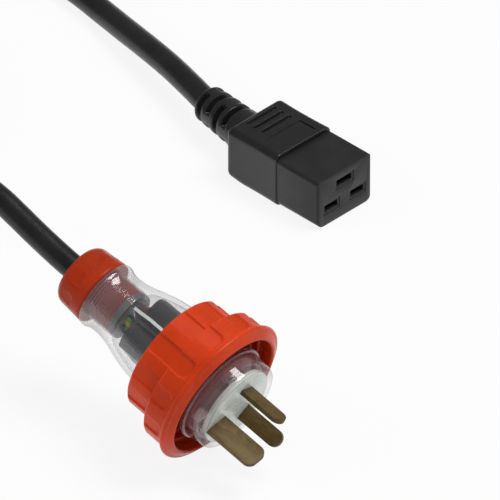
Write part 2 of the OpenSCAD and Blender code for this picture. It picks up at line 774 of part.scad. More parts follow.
module terminal_barrier() {
    front_z = shank_end - 7;
    back_z = 50;
    color([0.90, 0.92, 0.90]) on_plug() for (t = [60, 180, 300]) rotate([0, 0, terminal_roll + t])
        translate([-barrier_t / 3, -barrier_t / 2, -back_z])
            intersection() {
                cube([12, barrier_t, back_z - front_z]);
                rotate([90, 0, 0]) translate([0, 0, -barrier_t]) linear_extrude(2 * barrier_t)
                    polygon([[-1, -1], [10.4, -1], [12, 8], [12, 30], [-1, 30]]);
            }
}

// A flat pin with rounded end, its foot, its shank and the bore that takes the conductor
module plug_pin(place, w, h, l, t) {
    tip = min(max(w, h) / 2, 3);
    wide = max(w, h);
    color([0.72, 0.60, 0.30]) on_plug() {
        rotate([0, 0, pin_roll + t]) {
            intersection() {
                pin_bar(place, w, h, l, carrier_back - foot_t / 2);
                translate([place, 0, 0]) rotate(w > h ? [90, 0, 0] : [90, 0, 90])
                    translate([0, 0, -pin_t]) linear_extrude(2 * pin_t) {
                        translate([-wide, -40]) square([2 * wide, 40 + l - tip]);
                        translate([-wide / 2 + tip, 0]) square([wide - 2 * tip + eps, l]);
                        for (s = [-1, 1]) translate([s * (wide / 2 - tip), l - tip]) circle(tip);
                    }
            }
            pin_foot(place);
        }
        rotate([0, 0, terminal_roll + t]) translate([terminal_place, 0, 0]) difference() {
            translate([0, 0, -shank_end]) cylinder(d = shank_d, h = shank_end - carrier_back + eps);
            translate([0, 0, -shank_end - 1]) cylinder(r = terminal_bore, h = terminal_bore_l + 1);
        }
    }
}

module plug_earth_pin() { plug_pin(earth_place, earth_w, pin_t, earth_l, 0); }
module plug_line_pin() { plug_pin(live_place, pin_t, live_w, live_l, 240); }
module plug_neutral_pin() { plug_pin(live_place, pin_t, live_w, live_l, 120); }

module terminal_screws() {
    inner = terminal_place + shank_d / 2 + 0.15;
    color([0.80, 0.80, 0.82]) on_plug() for (t = [0, 120, 240]) rotate([0, 0, terminal_roll + t])
        translate([inner, 0, -terminal_screw_z]) rotate([0, 90, 0]) difference() {
            cylinder(r = screw_r, h = 2.6);
            translate([-3, -0.3, 1.8]) cube([6, 0.6, 2]);
        }
}

// Flat valleys between the grip pads of a tier of radius r, from depth z0 to depth z1
module valleys(n, turn, r, depth, w, z0, z1) {
    for (i = [0:n - 1]) rotate([0, 0, turn + 360 * i / n])
        translate([r - depth, -w / 2, -z1]) cube([2 * depth, w, z1 - z0]);
}

module locking_ring() {
    shelf_r = barrel_r + 0.8;
    cavity_r = flange_r + turn_gap + 0.1;
    collar_r = rear_root_r + turn_gap + 0.1;
    mouth_r = ring_bore - mouth_lip;
    bead = [for (a = [-90:15:90])
        [lip_r - lip_bead + lip_bead * cos(a), -lip_z - lip_bead + lip_bead * sin(a)]];
    // A ridge of the ring's inner thread, its front at depth z
    ridges = [for (z = [lip_z + 5, lip_z + 8.4]) each [
        [ring_bore, -z], [ring_bore - 0.6, -z - 0.3], [ring_bore - 0.6, -z - 1.3],
        [ring_bore, -z - 1.6],
    ]];
    color([0.86, 0.25, 0.10]) on_plug() difference() {
        rotate_extrude() polygon(concat(
            [[collar_r, -ring_back_z], [ring_rear_r - 1, -ring_back_z],
                [ring_rear_r, -ring_back_z + 1], [ring_rear_r, -ring_step_z],
                [ring_front_r - 0.9, -ring_step_z], [ring_front_r, -ring_step_z + 0.6],
                [ring_front_r, -lip_z - lip_t]],
            bead,
            [[mouth_r + 0.5, -lip_z], [mouth_r, -lip_z - 0.5], [mouth_r, -lip_z - lip_t],
                [ring_bore, -lip_z - lip_t - 0.4]],
            ridges,
            [[ring_bore, -flange_z + turn_gap + 1.9], [shelf_r, -flange_z + turn_gap + 1.9],
                [shelf_r, -flange_z + turn_gap], [cavity_r, -flange_z + turn_gap],
                [cavity_r, -rear_flange_back - turn_gap],
                [collar_r, -rear_flange_back - turn_gap]]));
        valleys(pad_n, ring_turn, ring_front_r, pad_depth, valley_w, valley_front, ring_step_z + 1);
        valleys(pad_n, ring_turn, ring_rear_r, pad_depth, valley_w, ring_step_z, ring_back_z + 1);
    }
}

module gland_nut() {
    front = -nut_front;
    back = -nut_back;
    color([0.80, 0.23, 0.10]) on_plug() difference() {
        rotate_extrude($fn = 96) polygon([
            [entry_r, back], [nut_r - 2.4, back], [nut_r - 0.8, back + 2],
            [nut_r, front - 0.8], [nut_r - 0.3, front], [sleeve_r, front],
            [sleeve_r, front + sleeve_l - 0.4], [sleeve_r - 0.4, front + sleeve_l],
            [nut_cavity, front + sleeve_l], [nut_cavity, back + nut_wall], [entry_r, back + nut_wall],
        ]);
        valleys(nut_n, nut_turn, nut_r, nut_valley_depth, nut_valley_w,
            nut_front + nut_valley_front, nut_back + 1);
    }
}

module gland_washer() {
    color([0.92, 0.92, 0.90]) on_plug() translate([0, 0, -nut_back + nut_wall + 0.05]) difference() {
        cylinder(r = nut_cavity - 0.2, h = washer_t);
        translate([0, 0, -1]) cylinder(r = cord_r + 0.4, h = washer_t + 2);
    }
}

module gland_seal() {
    back = -nut_back + nut_wall + washer_t + 0.1;
    collar = -nut_front + sleeve_l + 0.1;
    color([0.09, 0.09, 0.09]) on_plug() rotate_extrude() polygon([
        [cord_r, back], [nut_cavity - 0.3, back], [nut_cavity - 0.3, collar],
        [neck_bore - 0.2, collar], [neck_bore - 0.2, -neck_shoulder - 0.05],
        [cord_r, -neck_shoulder - 0.05],
    ]);
}

// An insulated conductor from the cord's sheath into a terminal, in the plug's own frame
module plug_core(t) {
    lay = 2.6;
    end_z = -shank_end + 4;
    bend = [for (u = [0:0.25:1]) let (s = u * u * (3 - 2 * u))
        [lay + (terminal_place - lay) * s, 0,
            -sheath_end + core_gap + (sheath_end - core_gap - tower_end + 1) * u]];
    on_plug() rotate([0, 0, terminal_roll + t])
        tube(concat(bend, [[terminal_place, 0, end_z]]), core_r, 8, false);
}

module plug_earth_core() { color([0.35, 0.62, 0.18]) plug_core(0); }
module plug_line_core() { color([0.45, 0.26, 0.15]) plug_core(240); }
module plug_neutral_core() { color([0.15, 0.35, 0.72]) plug_core(120); }

// --- each piece once ---------------------------------------------------------

contact_carrier();
contact(CONTACTS[0]);  // line_contact
contact(CONTACTS[1]);  // neutral_contact
contact(CONTACTS[2]);  // earth_contact
contact_bridge();
overmould();
line_core();
neutral_core();
earth_core();
lead_front();
cord_coil();
coil_tie();
lead_rear();
gland_nut();
gland_washer();
gland_seal();
rear_shell();
front_shell();
shell_gasket();
face_plate();
pin_carrier();
terminal_block();
terminal_barrier();
plug_earth_pin();
plug_line_pin();
plug_neutral_pin();
terminal_screws();
carrier_screws();
locking_ring();
plug_earth_core();
plug_line_core();
plug_neutral_core();
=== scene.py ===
# %% [markdown]
# # A power lead in two characters
#
# One end of this lead is a black moulded connector, plain as a brick and soft at its
# edges. The other end is a weatherproof plug: glossy orange rings that turn on a clear
# shell, with everything inside on show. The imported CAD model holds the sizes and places.
# This script dresses it, and repeats as named values those that it can't read from it. Each
# cell makes one piece or one finish and says what it made.

# %% Load the frame
import json
import math

import bmesh
import bpy
import numpy as np
from mathutils import Matrix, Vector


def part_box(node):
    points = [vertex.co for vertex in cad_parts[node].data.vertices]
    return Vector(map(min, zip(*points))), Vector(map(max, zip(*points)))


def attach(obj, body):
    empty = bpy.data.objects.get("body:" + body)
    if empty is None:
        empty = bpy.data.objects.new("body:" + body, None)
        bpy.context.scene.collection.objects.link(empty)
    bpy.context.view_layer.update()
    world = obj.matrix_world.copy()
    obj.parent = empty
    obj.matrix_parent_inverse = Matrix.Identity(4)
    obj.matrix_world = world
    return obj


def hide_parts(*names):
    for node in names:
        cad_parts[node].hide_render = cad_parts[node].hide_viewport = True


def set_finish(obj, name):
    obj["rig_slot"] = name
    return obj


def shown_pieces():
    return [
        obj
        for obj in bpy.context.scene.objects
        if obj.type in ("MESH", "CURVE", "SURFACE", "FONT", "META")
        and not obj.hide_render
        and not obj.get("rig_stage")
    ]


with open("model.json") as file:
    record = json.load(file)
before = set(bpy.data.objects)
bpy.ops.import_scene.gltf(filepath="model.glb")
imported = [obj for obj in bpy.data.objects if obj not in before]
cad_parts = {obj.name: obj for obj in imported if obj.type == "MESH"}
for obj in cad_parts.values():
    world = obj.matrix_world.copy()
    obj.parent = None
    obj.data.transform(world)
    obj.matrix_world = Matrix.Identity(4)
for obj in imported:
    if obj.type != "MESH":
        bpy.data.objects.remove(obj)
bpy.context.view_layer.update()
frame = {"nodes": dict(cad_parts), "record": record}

MM = 0.001

# %% [markdown]
# ## Camera
#
# A long lens far away gives the flat perspective of a catalogue. The camera looks
# down from the front left of the connector, so its mating face and the plug's face both
# show. Only the cord's coil lies outside the view, past its left edge.

# %% The camera
VIEW_TURN, VIEW_RISE = math.radians(-45.3), math.radians(35.8)
VIEW_WIDTH, VIEW_DISTANCE = 0.1773, 8.0
AIM_RIGHT, AIM_UP = -0.0077, -0.02706  # the view's middle, from the origin, in metres

view_right = np.array([math.cos(VIEW_TURN), math.sin(VIEW_TURN), 0.0])
view_back = np.array([math.sin(VIEW_TURN) * math.cos(VIEW_RISE),
                      -math.cos(VIEW_TURN) * math.cos(VIEW_RISE), math.sin(VIEW_RISE)])
view_up = np.cross(view_back, view_right)
view_aim = AIM_RIGHT * view_right + AIM_UP * view_up

camera = bpy.data.objects.new("camera", bpy.data.cameras.new("camera"))
bpy.context.scene.collection.objects.link(camera)
camera.data.lens = camera.data.sensor_width * VIEW_DISTANCE / VIEW_WIDTH
camera.data.clip_end = 3 * VIEW_DISTANCE
camera.location = view_aim + VIEW_DISTANCE * view_back
camera.rotation_euler = (math.pi / 2 - VIEW_RISE, 0, VIEW_TURN)
bpy.context.scene.camera = camera
bpy.context.scene.view_settings.view_transform = "Standard"
print("lens", round(camera.data.lens), "mm at", VIEW_DISTANCE, "m")

# %% [markdown]
# ## From a grid of points to a piece
#
# Almost every piece here is a function of two parameters: a profile turned round an axis,
# an outline carried along a line, or a ring carried along a cord. Each is computed as one
# array of points, rows by columns. The same helper then turns any such array into a mesh:
# it joins neighbours to faces, merges the points that fall together at seams and poles,
# and turns all faces outwards. A second helper tells the frame what the piece is.

# %% Grid to mesh
def surface(name, grid, wrap_rows=False, wrap_columns=True, uv=None, crease=40):
    """A mesh from an array of points in millimetres, rows by columns by 3.

    Face (i, j) joins points (i, j), (i, j+1), (i+1, j+1) and (i+1, j); an axis that wraps
    joins its last point to its first. Edges sharper than crease degrees stay sharp.
    """
    rows, columns = grid.shape[:2]
    i, j = np.meshgrid(np.arange(rows if wrap_rows else rows - 1),
                       np.arange(columns if wrap_columns else columns - 1), indexing="ij")
    down, across = (i + 1) % rows, (j + 1) % columns
    faces = np.stack([i * columns + j, i * columns + across,
                      down * columns + across, down * columns + j], axis=-1).reshape(-1, 4)
    mesh = bpy.data.meshes.new(name)
    mesh.from_pydata((grid.reshape(-1, 3) * MM).tolist(), [], faces.tolist())
    if uv is not None:
        along, around = uv
        corners = np.stack([np.stack([along[i], around[j]], -1),
                            np.stack([along[i], around[j + 1]], -1),
                            np.stack([along[i + 1], around[j + 1]], -1),
                            np.stack([along[i + 1], around[j]], -1)], axis=2)
        mesh.uv_layers.new(name="run").data.foreach_set("uv", corners.ravel())
    work = bmesh.new()
    work.from_mesh(mesh)
    bmesh.ops.remove_doubles(work, verts=work.verts, dist=2e-7)
    bmesh.ops.recalc_face_normals(work, faces=work.faces)
    work.to_mesh(mesh)
    work.free()
    mesh.shade_smooth()
    mesh.set_sharp_from_angle(angle=math.radians(crease))
    piece = bpy.data.objects.new(name, mesh)
    bpy.context.scene.collection.objects.link(piece)
    return piece


print("any grid of points can become a mesh")

# %% Piece to body
def dress(piece, body, slot, *nodes):
    """Lets a piece ride on a CAD body, take its slot's finish and stand for CAD nodes."""
    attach(piece, body)
    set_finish(piece, slot)
    if nodes:
        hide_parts(*nodes)
    print(f"{piece.name}: {len(piece.data.polygons)} faces, rides on {body}")
    return piece


# %% [markdown]
# ## The two axes
#
# The strain relief leans out of the connector by a few degrees, and the plug points down
# and a little to the right. Each has a frame of its own, so that its shape can be worked
# out on a plain upright axis and carried to its place at the end. The plug's frame comes
# from the joint of its locking ring, which turns about the same axis. From here on, the
# lengths of pieces are in millimetres until the mesh is made.

# %% Frames of the connector, the strain relief and the plug
BLOCK_LENGTH, RELIEF_LENGTH = 20.5, 28.4
GRIP_WIDTH, GRIP_HEIGHT, GRIP_LENGTH = 27.7, 22.0, 25.0
RELIEF_INSIDE = 2.0  # how far the relief's root lies inside the grip
LEAN = math.radians(8)
CORD_R = 4.6

FACE_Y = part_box("contact_carrier")[0].y / MM
STEP_Y = FACE_Y + BLOCK_LENGTH
BACK_Y = STEP_Y + GRIP_LENGTH
ROOT_Y = BACK_Y - RELIEF_INSIDE
AXIS_Z = GRIP_HEIGHT / 2
UPWARD = np.array([0.0, 0.0, 1.0])

ring_joint = next(j for j in frame["record"]["behaviour"]["joints"] if j["name"] == "ring_turn")
plug_face = np.array(ring_joint["pos_m"]) / MM
plug_out = np.array(ring_joint["axis"])
plug_side = np.array([-plug_out[1], plug_out[0], 0.0])
plug_side /= np.linalg.norm(plug_side)
plug_rise = np.cross(plug_out, plug_side)


def in_plug(x, y, depth):
    """Points of the plug: the face plus x to its side, y to its top and depth behind it."""
    return plug_face + (np.asarray(x)[..., None] * plug_side
                        + np.asarray(y)[..., None] * plug_rise
                        - np.asarray(depth)[..., None] * plug_out)


def in_relief(x, y, along):
    """Points of the strain relief: its root plus x to the right, y up and along its axis."""
    side = np.array([math.cos(LEAN), -math.sin(LEAN), 0.0])
    ahead = np.array([math.sin(LEAN), math.cos(LEAN), 0.0])
    return np.array([0.0, ROOT_Y, AXIS_Z]) + (np.asarray(x)[..., None] * side
                                              + np.asarray(y)[..., None] * UPWARD
                                              + np.asarray(along)[..., None] * ahead)


print("plug face at", plug_face.round(2), "looks along", plug_out.round(3))

# %% [markdown]
# ## The cord
#
# The sheath is one round tube from the connector to the plug. Outside the coil it follows
# a few chosen points, smoothed into one curve. The coil is worked out from its winding
# angle: nearly three turns lie side by side on the surface, and one and a half more lie in
# the grooves between them, as when a lead is wound by hand. Where a turn moves over to the
# next radius, the turn above it rises a little to pass.

# %% The cord's route
COIL_CENTRE = np.array([-100.0, 142.0])

leaving = np.vstack([in_relief(0.0, 0.0, 0.0), in_relief(0.0, 0.0, RELIEF_LENGTH), [
    [7, 47, 10.9], [11, 61, 10.2], [15.3, 77, 8.6], [19.5, 93, 6.6], [23.3, 108, 5],
    [26, 123, 4.6], [27, 139, 4.6], [24, 155, 4.6], [17, 170, 4.6], [5, 183, 4.6],
    [-11, 192, 4.6], [-28, 197.5, 4.6], [-46, 200.5, 4.8], [-63, 201.5, 5.2],
    [-78, 201.6, 5.4]]])
arriving = np.vstack([[
    [-155, 142, 15.6], [-154.2, 127, 19], [-152, 111, 25.2], [-149.2, 95, 33.6],
    [-146.2, 80, 42.6], [-143.4, 65, 51.2], [-140.8, 49, 58.5], [-138.8, 32, 62.8],
    [-137.4, 15, 63], [-136.8, -1, 59.8], [-136.8, -10, 57], [-137, -20, 53.8]],
    in_plug(0.0, 0.0, 86.3), in_plug(0.0, 0.0, 78.3), in_plug(0.0, 0.0, 53.0)])

turn_at = [90, 390, 450, 750, 810, 1085, 1130, 1410, 1470, 1620]
turn_radius = [59.6, 59.6, 50.3, 50.3, 41.0, 41.0, 45.6, 45.6, 55.0, 55.0]
rise_at = [90, 1045, 1092, 1180, 1200, 1390, 1410, 1540, 1560, 1580, 1620]
rise_height = [5.4, 5.4, 14.7, 14.7, 13.8, 13.8, 14.7, 14.7, 13.8, 13.8, 15.6]


def eased(x, xs, ys):
    """Values that ease from one key to the next: u squared times 3 - 2u between each pair."""
    xs, ys = np.asarray(xs, float), np.asarray(ys, float)
    k = np.clip(np.searchsorted(xs, x, side="right") - 1, 0, len(xs) - 2)
    u = np.clip((x - xs[k]) / (xs[k + 1] - xs[k]), 0, 1)
    return ys[k] + (ys[k + 1] - ys[k]) * u * u * (3 - 2 * u)


winding = np.arange(96, 1617, 6.0)
angle, coil_radius = np.radians(winding), eased(winding, turn_at, turn_radius)
coiled = np.column_stack([COIL_CENTRE[0] + coil_radius * np.cos(angle),
                          COIL_CENTRE[1] + coil_radius * np.sin(angle),
                          eased(winding, rise_at, rise_height)])


def smooth_path(points, step):
    """A curve through points, even in length.

    Between two points it is the cubic that leaves each one along the line between its
    neighbours (Catmull-Rom); the result is then read off at equal steps of arc length.
    """
    ends = np.vstack([2 * points[0] - points[1], points, 2 * points[-1] - points[-2]])
    gap = np.linalg.norm(np.diff(ends, axis=0), axis=1)
    slope = (ends[2:] - ends[:-2]) / (gap[1:] + gap[:-1])[:, None]
    u = np.linspace(0, 1, 24, endpoint=False)[None, :, None]
    p, q = points[:-1, None], points[1:, None]
    m, n = slope[:-1, None] * gap[1:-1, None, None], slope[1:, None] * gap[1:-1, None, None]
    curve = ((2 * u**3 - 3 * u**2 + 1) * p + (u**3 - 2 * u**2 + u) * m
             + (3 * u**2 - 2 * u**3) * q + (u**3 - u**2) * n).reshape(-1, 3)
    curve = np.vstack([curve, points[-1:]])
    run = np.concatenate([[0], np.cumsum(np.linalg.norm(np.diff(curve, axis=0), axis=1))])
    even = np.linspace(0, run[-1], int(run[-1] / step) + 1)
    return np.column_stack([np.interp(even, run, curve[:, k]) for k in range(3)]), run[-1]


cord_path, cord_length = smooth_path(np.vstack([leaving, coiled, arriving]), 2.0)
print("cord length", round(cord_length), "mm in", len(cord_path), "rings")

# %% [markdown]
# ## The cord's sheath
#
# A curve with a round bevel would do for a plain cord. Here the tube is worked out ring by
# ring instead, so that it can carry its own map: metres along it and one turn around it.
# The fine lines that the die leaves on the sheath follow that map.

# %% The cord's sheath
def tube(path, radius, sides):
    """A tube round a path: each ring is the point plus radius times (cos a, sin a) in the
    plane square to the path, whose first direction is level. The ends close to a point."""
    ahead = np.gradient(path, axis=0)
    ahead /= np.linalg.norm(ahead, axis=1)[:, None]
    level = np.cross(ahead, UPWARD)
    level /= np.linalg.norm(level, axis=1)[:, None]
    over = np.cross(level, ahead)
    a = np.linspace(0, 2 * math.pi, sides, endpoint=False)[None, :, None]
    rings = path[:, None] + radius * (np.cos(a) * level[:, None] + np.sin(a) * over[:, None])
    first, last = (np.repeat(path[k][None, None], sides, axis=1) for k in (0, -1))
    return np.concatenate([first, rings, last])


cord_rings = tube(cord_path, CORD_R, 20)
run_m = np.linspace(0, cord_length * MM, len(cord_path))
cord_uv = (np.concatenate([[0], run_m, [run_m[-1]]]), np.linspace(0, 1, 21))
cord = dress(surface("cord_sheath", cord_rings, uv=cord_uv), "lead_set", "cord_sheath",
             "lead_front", "cord_coil", "lead_rear")

# %% [markdown]
# ## The coil's tie
#
# A woven strap holds the turns together. It is a flat band that goes once round the five
# strands that pass there, and hugs their outline. A real one laps over itself by a finger's
# width; the lap would lie flat under the strap, so this loop is simply closed.

# %% The coil's tie
def band(path, width, thickness, across):
    """A closed strap: at each point of a loop, a flat rounded section, width wide along the
    direction across and thickness thick along the loop's own normal."""
    ahead = np.roll(path, -1, axis=0) - np.roll(path, 1, axis=0)
    ahead /= np.linalg.norm(ahead, axis=1)[:, None]
    out = np.cross(ahead, across)
    t = np.linspace(0, 2 * math.pi, 24, endpoint=False)
    flat = np.sign(np.cos(t)) * np.abs(np.cos(t)) ** 0.25 * width / 2
    thick = np.sign(np.sin(t)) * np.abs(np.sin(t)) ** 0.5 * thickness / 2
    return path[:, None] + flat[None, :, None] * across + thick[None, :, None] * out[:, None]


TIE_WIDTH, TIE_THICKNESS = 10.0, 0.8
tie_turn = math.radians(130)
tie_out = np.array([math.cos(tie_turn), math.sin(tie_turn), 0.0])
tie_across = np.array([-math.sin(tie_turn), math.cos(tie_turn), 0.0])
loop = np.array([[35.9, 0.4], [50.3, 0.4], [64.7, 0.4], [64.8, 5.2], [64.8, 10.1],
                 [62.4, 14.5], [60.0, 18.8], [50.3, 18.8], [40.6, 18.8], [38.2, 14.5],
                 [35.8, 10.1], [35.8, 5.2]])  # (distance from the coil's middle, height)
placed = np.array([*COIL_CENTRE, 0.0]) + loop[:, :1] * tie_out + loop[:, 1:] * UPWARD
tie_path, tie_length = smooth_path(np.vstack([placed, placed[:1]]), 1.0)
tie_path[:, 2] = np.maximum(tie_path[:, 2], TIE_THICKNESS / 2)
strap = band(tie_path[:-1], TIE_WIDTH, TIE_THICKNESS, tie_across)
tie = dress(surface("coil_tie_strap", strap, wrap_rows=True), "lead_set", "tie_black", "coil_tie")
print("tie", round(tie_length), "mm round")

# %% [markdown]
# ## A small language for finishes
#
# Every finish below is procedural: it is worked out from the place of each point on the
# piece, so it stays sharp at any size and moves with its piece. To write such finishes as
# formulas, a shader value takes plain arithmetic, and one method adds any other node.

# %% Shader values
class Value:
    """One output of a shader node. Arithmetic on it adds Math nodes."""

    def __init__(self, finish, socket):
        self.finish, self.socket = finish, socket

    def math(self, operation, *values):
        return self.finish.node("Math", {"operation": operation}, dict(enumerate(values)))

    def __add__(self, other):
        return self.math("ADD", self, other)

    def __radd__(self, other):
        return self.math("ADD", other, self)

    def __sub__(self, other):
        return self.math("SUBTRACT", self, other)

    def __rsub__(self, other):
        return self.math("SUBTRACT", other, self)

    def __mul__(self, other):
        return self.math("MULTIPLY", self, other)

    def __rmul__(self, other):
        return self.math("MULTIPLY", other, self)

    def __pow__(self, other):
        return self.math("POWER", self, other)

    def sine(self):
        return self.math("SINE", self)

    def cosine(self):
        return self.math("COSINE", self)


print("shader values take plain arithmetic")

# %% Finishes
class Finish:
    """A material. Constants go to the shader's own sockets; node() adds everything else."""

    def __init__(self, name, **constants):
        self.material = bpy.data.materials.new(name)
        self.material.use_nodes = True
        self.tree = self.material.node_tree
        self.shader = self.tree.nodes["Principled BSDF"]
        self.give(**constants)
        self.place = self.node("TexCoord", output="Object")

    def node(self, kind, settings=None, inputs=None, output=0):
        """Adds a node: first its settings, then a value or a link for each named input."""
        node = self.tree.nodes.new("ShaderNode" + kind)
        for name, value in (settings or {}).items():
            setattr(node, name, value)
        for name, value in (inputs or {}).items():
            self.join(node.inputs[name], value)
        return Value(self, node.outputs[output])

    def join(self, socket, value):
        if isinstance(value, Value):
            self.tree.links.new(value.socket, socket)
        else:
            socket.default_value = value

    def give(self, **inputs):
        """Sets the shader's inputs, named in lower case with _ for a space."""
        for name, value in inputs.items():
            self.join(self.shader.inputs[name.replace("_", " ").title().replace("Ior", "IOR")],
                      value)

    def noise(self, size, detail=2.0, stretch=None):
        """Noise from 0 to 1 whose patches are about size millimetres across; along an axis
        whose stretch is under 1 they grow longer."""
        place = self.place
        if stretch:
            place = self.node("Mapping", {"vector_type": "POINT"},
                              {"Vector": place, "Scale": stretch})
        return self.node("TexNoise", None, {"Vector": place, "Scale": 1000.0 / size,
                                            "Detail": detail, "Roughness": 0.55})

    def between(self, factor, low, high, start=0.3, end=0.7):
        """A colour or number that goes from low to high while factor goes from start to end."""
        eased = self.node("MapRange", {"interpolation_type": "SMOOTHSTEP"},
                          {"Value": factor, "From Min": start, "From Max": end})
        if isinstance(low, tuple):
            return self.node("Mix", {"data_type": "RGBA"},
                             {0: eased, 6: (*low, 1.0), 7: (*high, 1.0)}, output=2)
        return low + (high - low) * eased

    def along_plug(self):
        """How far a point lies along the plug's axis, in metres, more towards the cord."""
        return self.node("VectorMath", {"operation": "DOT_PRODUCT"},
                         {0: self.place, 1: tuple(-plug_out)}, output="Value")

    def behind_face(self, start, end):
        """0 up to start millimetres behind the plug's face, 1 from end millimetres on."""
        return self.between(self.along_plug() + float(plug_face @ plug_out) * MM, 0.0, 1.0,
                            start * MM, end * MM)

    def bump(self, height, distance, under=None):
        """A normal from a height from 0 to 1 that is distance millimetres high at 1."""
        inputs = {"Height": height, "Distance": distance * MM, "Strength": 1.0}
        if under:
            inputs["Normal"] = under
        return self.node("Bump", None, inputs, output="Normal")


FINISHES = {}
print("finishes are written as formulas")

# %% [markdown]
# ## Moulded plastic and rubber
#
# The connector is moulded PVC, near black and satin. Its grip has the fine grain that the
# mould's spark-eroded surface leaves; the front block is a harder piece moulded first, and
# smoother. Real black plastic is never one flat tone: patches differ slightly in colour and
# in gloss where the melt cooled at different speeds. Two sizes of noise give the patches,
# and a third gives the grain.

# %% Moulded plastics and rubbers
def moulded(name, dark, light, gloss, grain, height, coat=0.0, patch=9.0, shine=0.4):
    """Plastic whose tone goes from dark to light, its roughness over gloss, in patches, with
    a grain of the given size and height in millimetres."""
    f = Finish(name, coat_weight=coat, coat_roughness=0.25, specular_ior_level=shine)
    drift = f.noise(patch, 3.0)
    speckle = f.noise(grain, 2.0)
    f.give(base_color=f.between(drift * 0.7 + speckle * 0.3, dark, light),
           roughness=f.between(f.noise(2.5 * grain, 3.0), *gloss),
           normal=f.bump(speckle, height, f.bump(f.noise(patch * 0.7, 1.0), 0.02)))
    return f


FINISHES["connector_body"] = moulded("moulded_grip", (0.007, 0.007, 0.0075),
                                     (0.012, 0.012, 0.0125), (0.28, 0.38), 0.45, 0.014,
                                     shine=0.5)
FINISHES["contact_block"] = moulded("moulded_block", (0.017, 0.0165, 0.017),
                                    (0.025, 0.024, 0.025), (0.30, 0.42), 0.3, 0.008,
                                    shine=0.28)
FINISHES["terminal_dark"] = moulded("phenolic", (0.016, 0.020, 0.023),
                                    (0.028, 0.034, 0.038), (0.30, 0.45), 0.4, 0.008)
FINISHES["seal_black"] = moulded("moulded_rubber", (0.010, 0.010, 0.010),
                                 (0.018, 0.018, 0.018), (0.55, 0.7), 0.5, 0.02)
FINISHES["seal_grey"] = moulded("grey_rubber", (0.10, 0.10, 0.11), (0.16, 0.16, 0.17),
                                (0.5, 0.65), 0.5, 0.012)
print("moulded plastics and rubbers:", len(FINISHES))

# %% [markdown]
# ## Extruded sheath and woven strap
#
# The cord's sheath comes out of a round die, which leaves very fine lines along it. The
# lines follow the cord's own UV map, and are the cosine of a whole number of turns, so they
# never show a seam; a slow noise lets them wander, and a fine one scuffs the gloss. The
# strap is woven, and its threads stand up where the sines of two directions multiply.

# %% The finishes of the cord and its strap
def extruded(name, dark, light, lines=46):
    """A sheath with lines along it: cosines of the angle around, wandering a little."""
    f = Finish(name, specular_ior_level=0.4)
    own = f.node("SeparateXYZ", None, {"Vector": f.node("UVMap", {"uv_map": "run"})}, output="Y")
    wander = f.noise(14.0, 1.0)
    fine = (own * (2 * math.pi * lines) + wander * 3.0).cosine()
    scuff = f.noise(1.8, 4.0)
    f.give(base_color=f.between(f.noise(11.0, 3.0), dark, light),
           roughness=f.between(scuff, 0.26, 0.38),
           normal=f.bump(fine * 0.5 + 0.5, 0.012, f.bump(scuff, 0.012)))
    return f


FINISHES["cord_sheath"] = extruded("extruded_sheath", (0.006, 0.006, 0.0065),
                                   (0.012, 0.012, 0.0125))


def woven(name, dark, light, pitch=0.9):
    """A woven strap: raised threads where sines of two directions multiply."""
    f = Finish(name, sheen_weight=0.3, sheen_roughness=0.6)
    axes = [f.node("SeparateXYZ", None, {"Vector": f.place}, output=axis) for axis in "XYZ"]
    turns = 2 * math.pi / (pitch * MM)
    lengthwise = (axes[0] + axes[1]) * (0.7071 * turns)
    threads = lengthwise.sine() * (axes[2] * turns).sine()
    f.give(base_color=f.between(threads, dark, light, -0.8, 0.8),
           roughness=f.between(f.noise(3.0), 0.7, 0.9),
           normal=f.bump(threads, 0.06, f.bump(f.noise(0.3, 2.0), 0.05)))
    return f


FINISHES["tie_black"] = woven("woven_strap", (0.010, 0.010, 0.010), (0.030, 0.030, 0.031))
print("sheath and strap done")

# %% [markdown]
# ## Orange polycarbonate
#
# The ring and the nut are dyed through and semi-gloss. Their colour is strong and even, so
# what makes them look real is the gloss: a thin clear sheen over a slightly softer base,
# faint flow marks from the mould, and patches that handling has dulled a little. Some light
# goes into the plastic and comes out redder beside, which makes thin edges glow.

# %% Orange plastics
def dyed(name, dark, light, coat):
    """Dyed plastic with flow marks, noise drawn out upwards. A little of the light goes a
    few millimetres into it, red deepest, so thin edges glow."""
    f = Finish(name, coat_weight=coat, coat_roughness=0.15, specular_ior_level=0.12,
               subsurface_weight=0.3, subsurface_radius=(1.0, 0.12, 0.05),
               subsurface_scale=4 * MM)
    flow = f.noise(16.0, 2.0, stretch=(1.0, 1.0, 0.35))
    fine = f.noise(0.5, 2.0)
    f.give(base_color=f.between(flow, dark, light),
           roughness=f.between(f.noise(5.0, 4.0), 0.24, 0.36),
           normal=f.bump(fine, 0.006, f.bump(flow, 0.05)))
    return f


FINISHES["ring_orange"] = dyed("orange_ring", (0.60, 0.046, 0.007), (0.72, 0.060, 0.012), 0.03)
FINISHES["nut_orange"] = dyed("orange_nut", (0.37, 0.030, 0.005), (0.47, 0.039, 0.009), 0.03)
# The nut's sleeve is the nut's orange plastic, painted darker and dustier: painted shade for how it
# shows through the clear neck.
SLEEVE_PAINTED_SHADE = dyed("sleeve_painted_shade", (0.26, 0.045, 0.030), (0.34, 0.060, 0.042), 0.02)
print("orange plastics done")
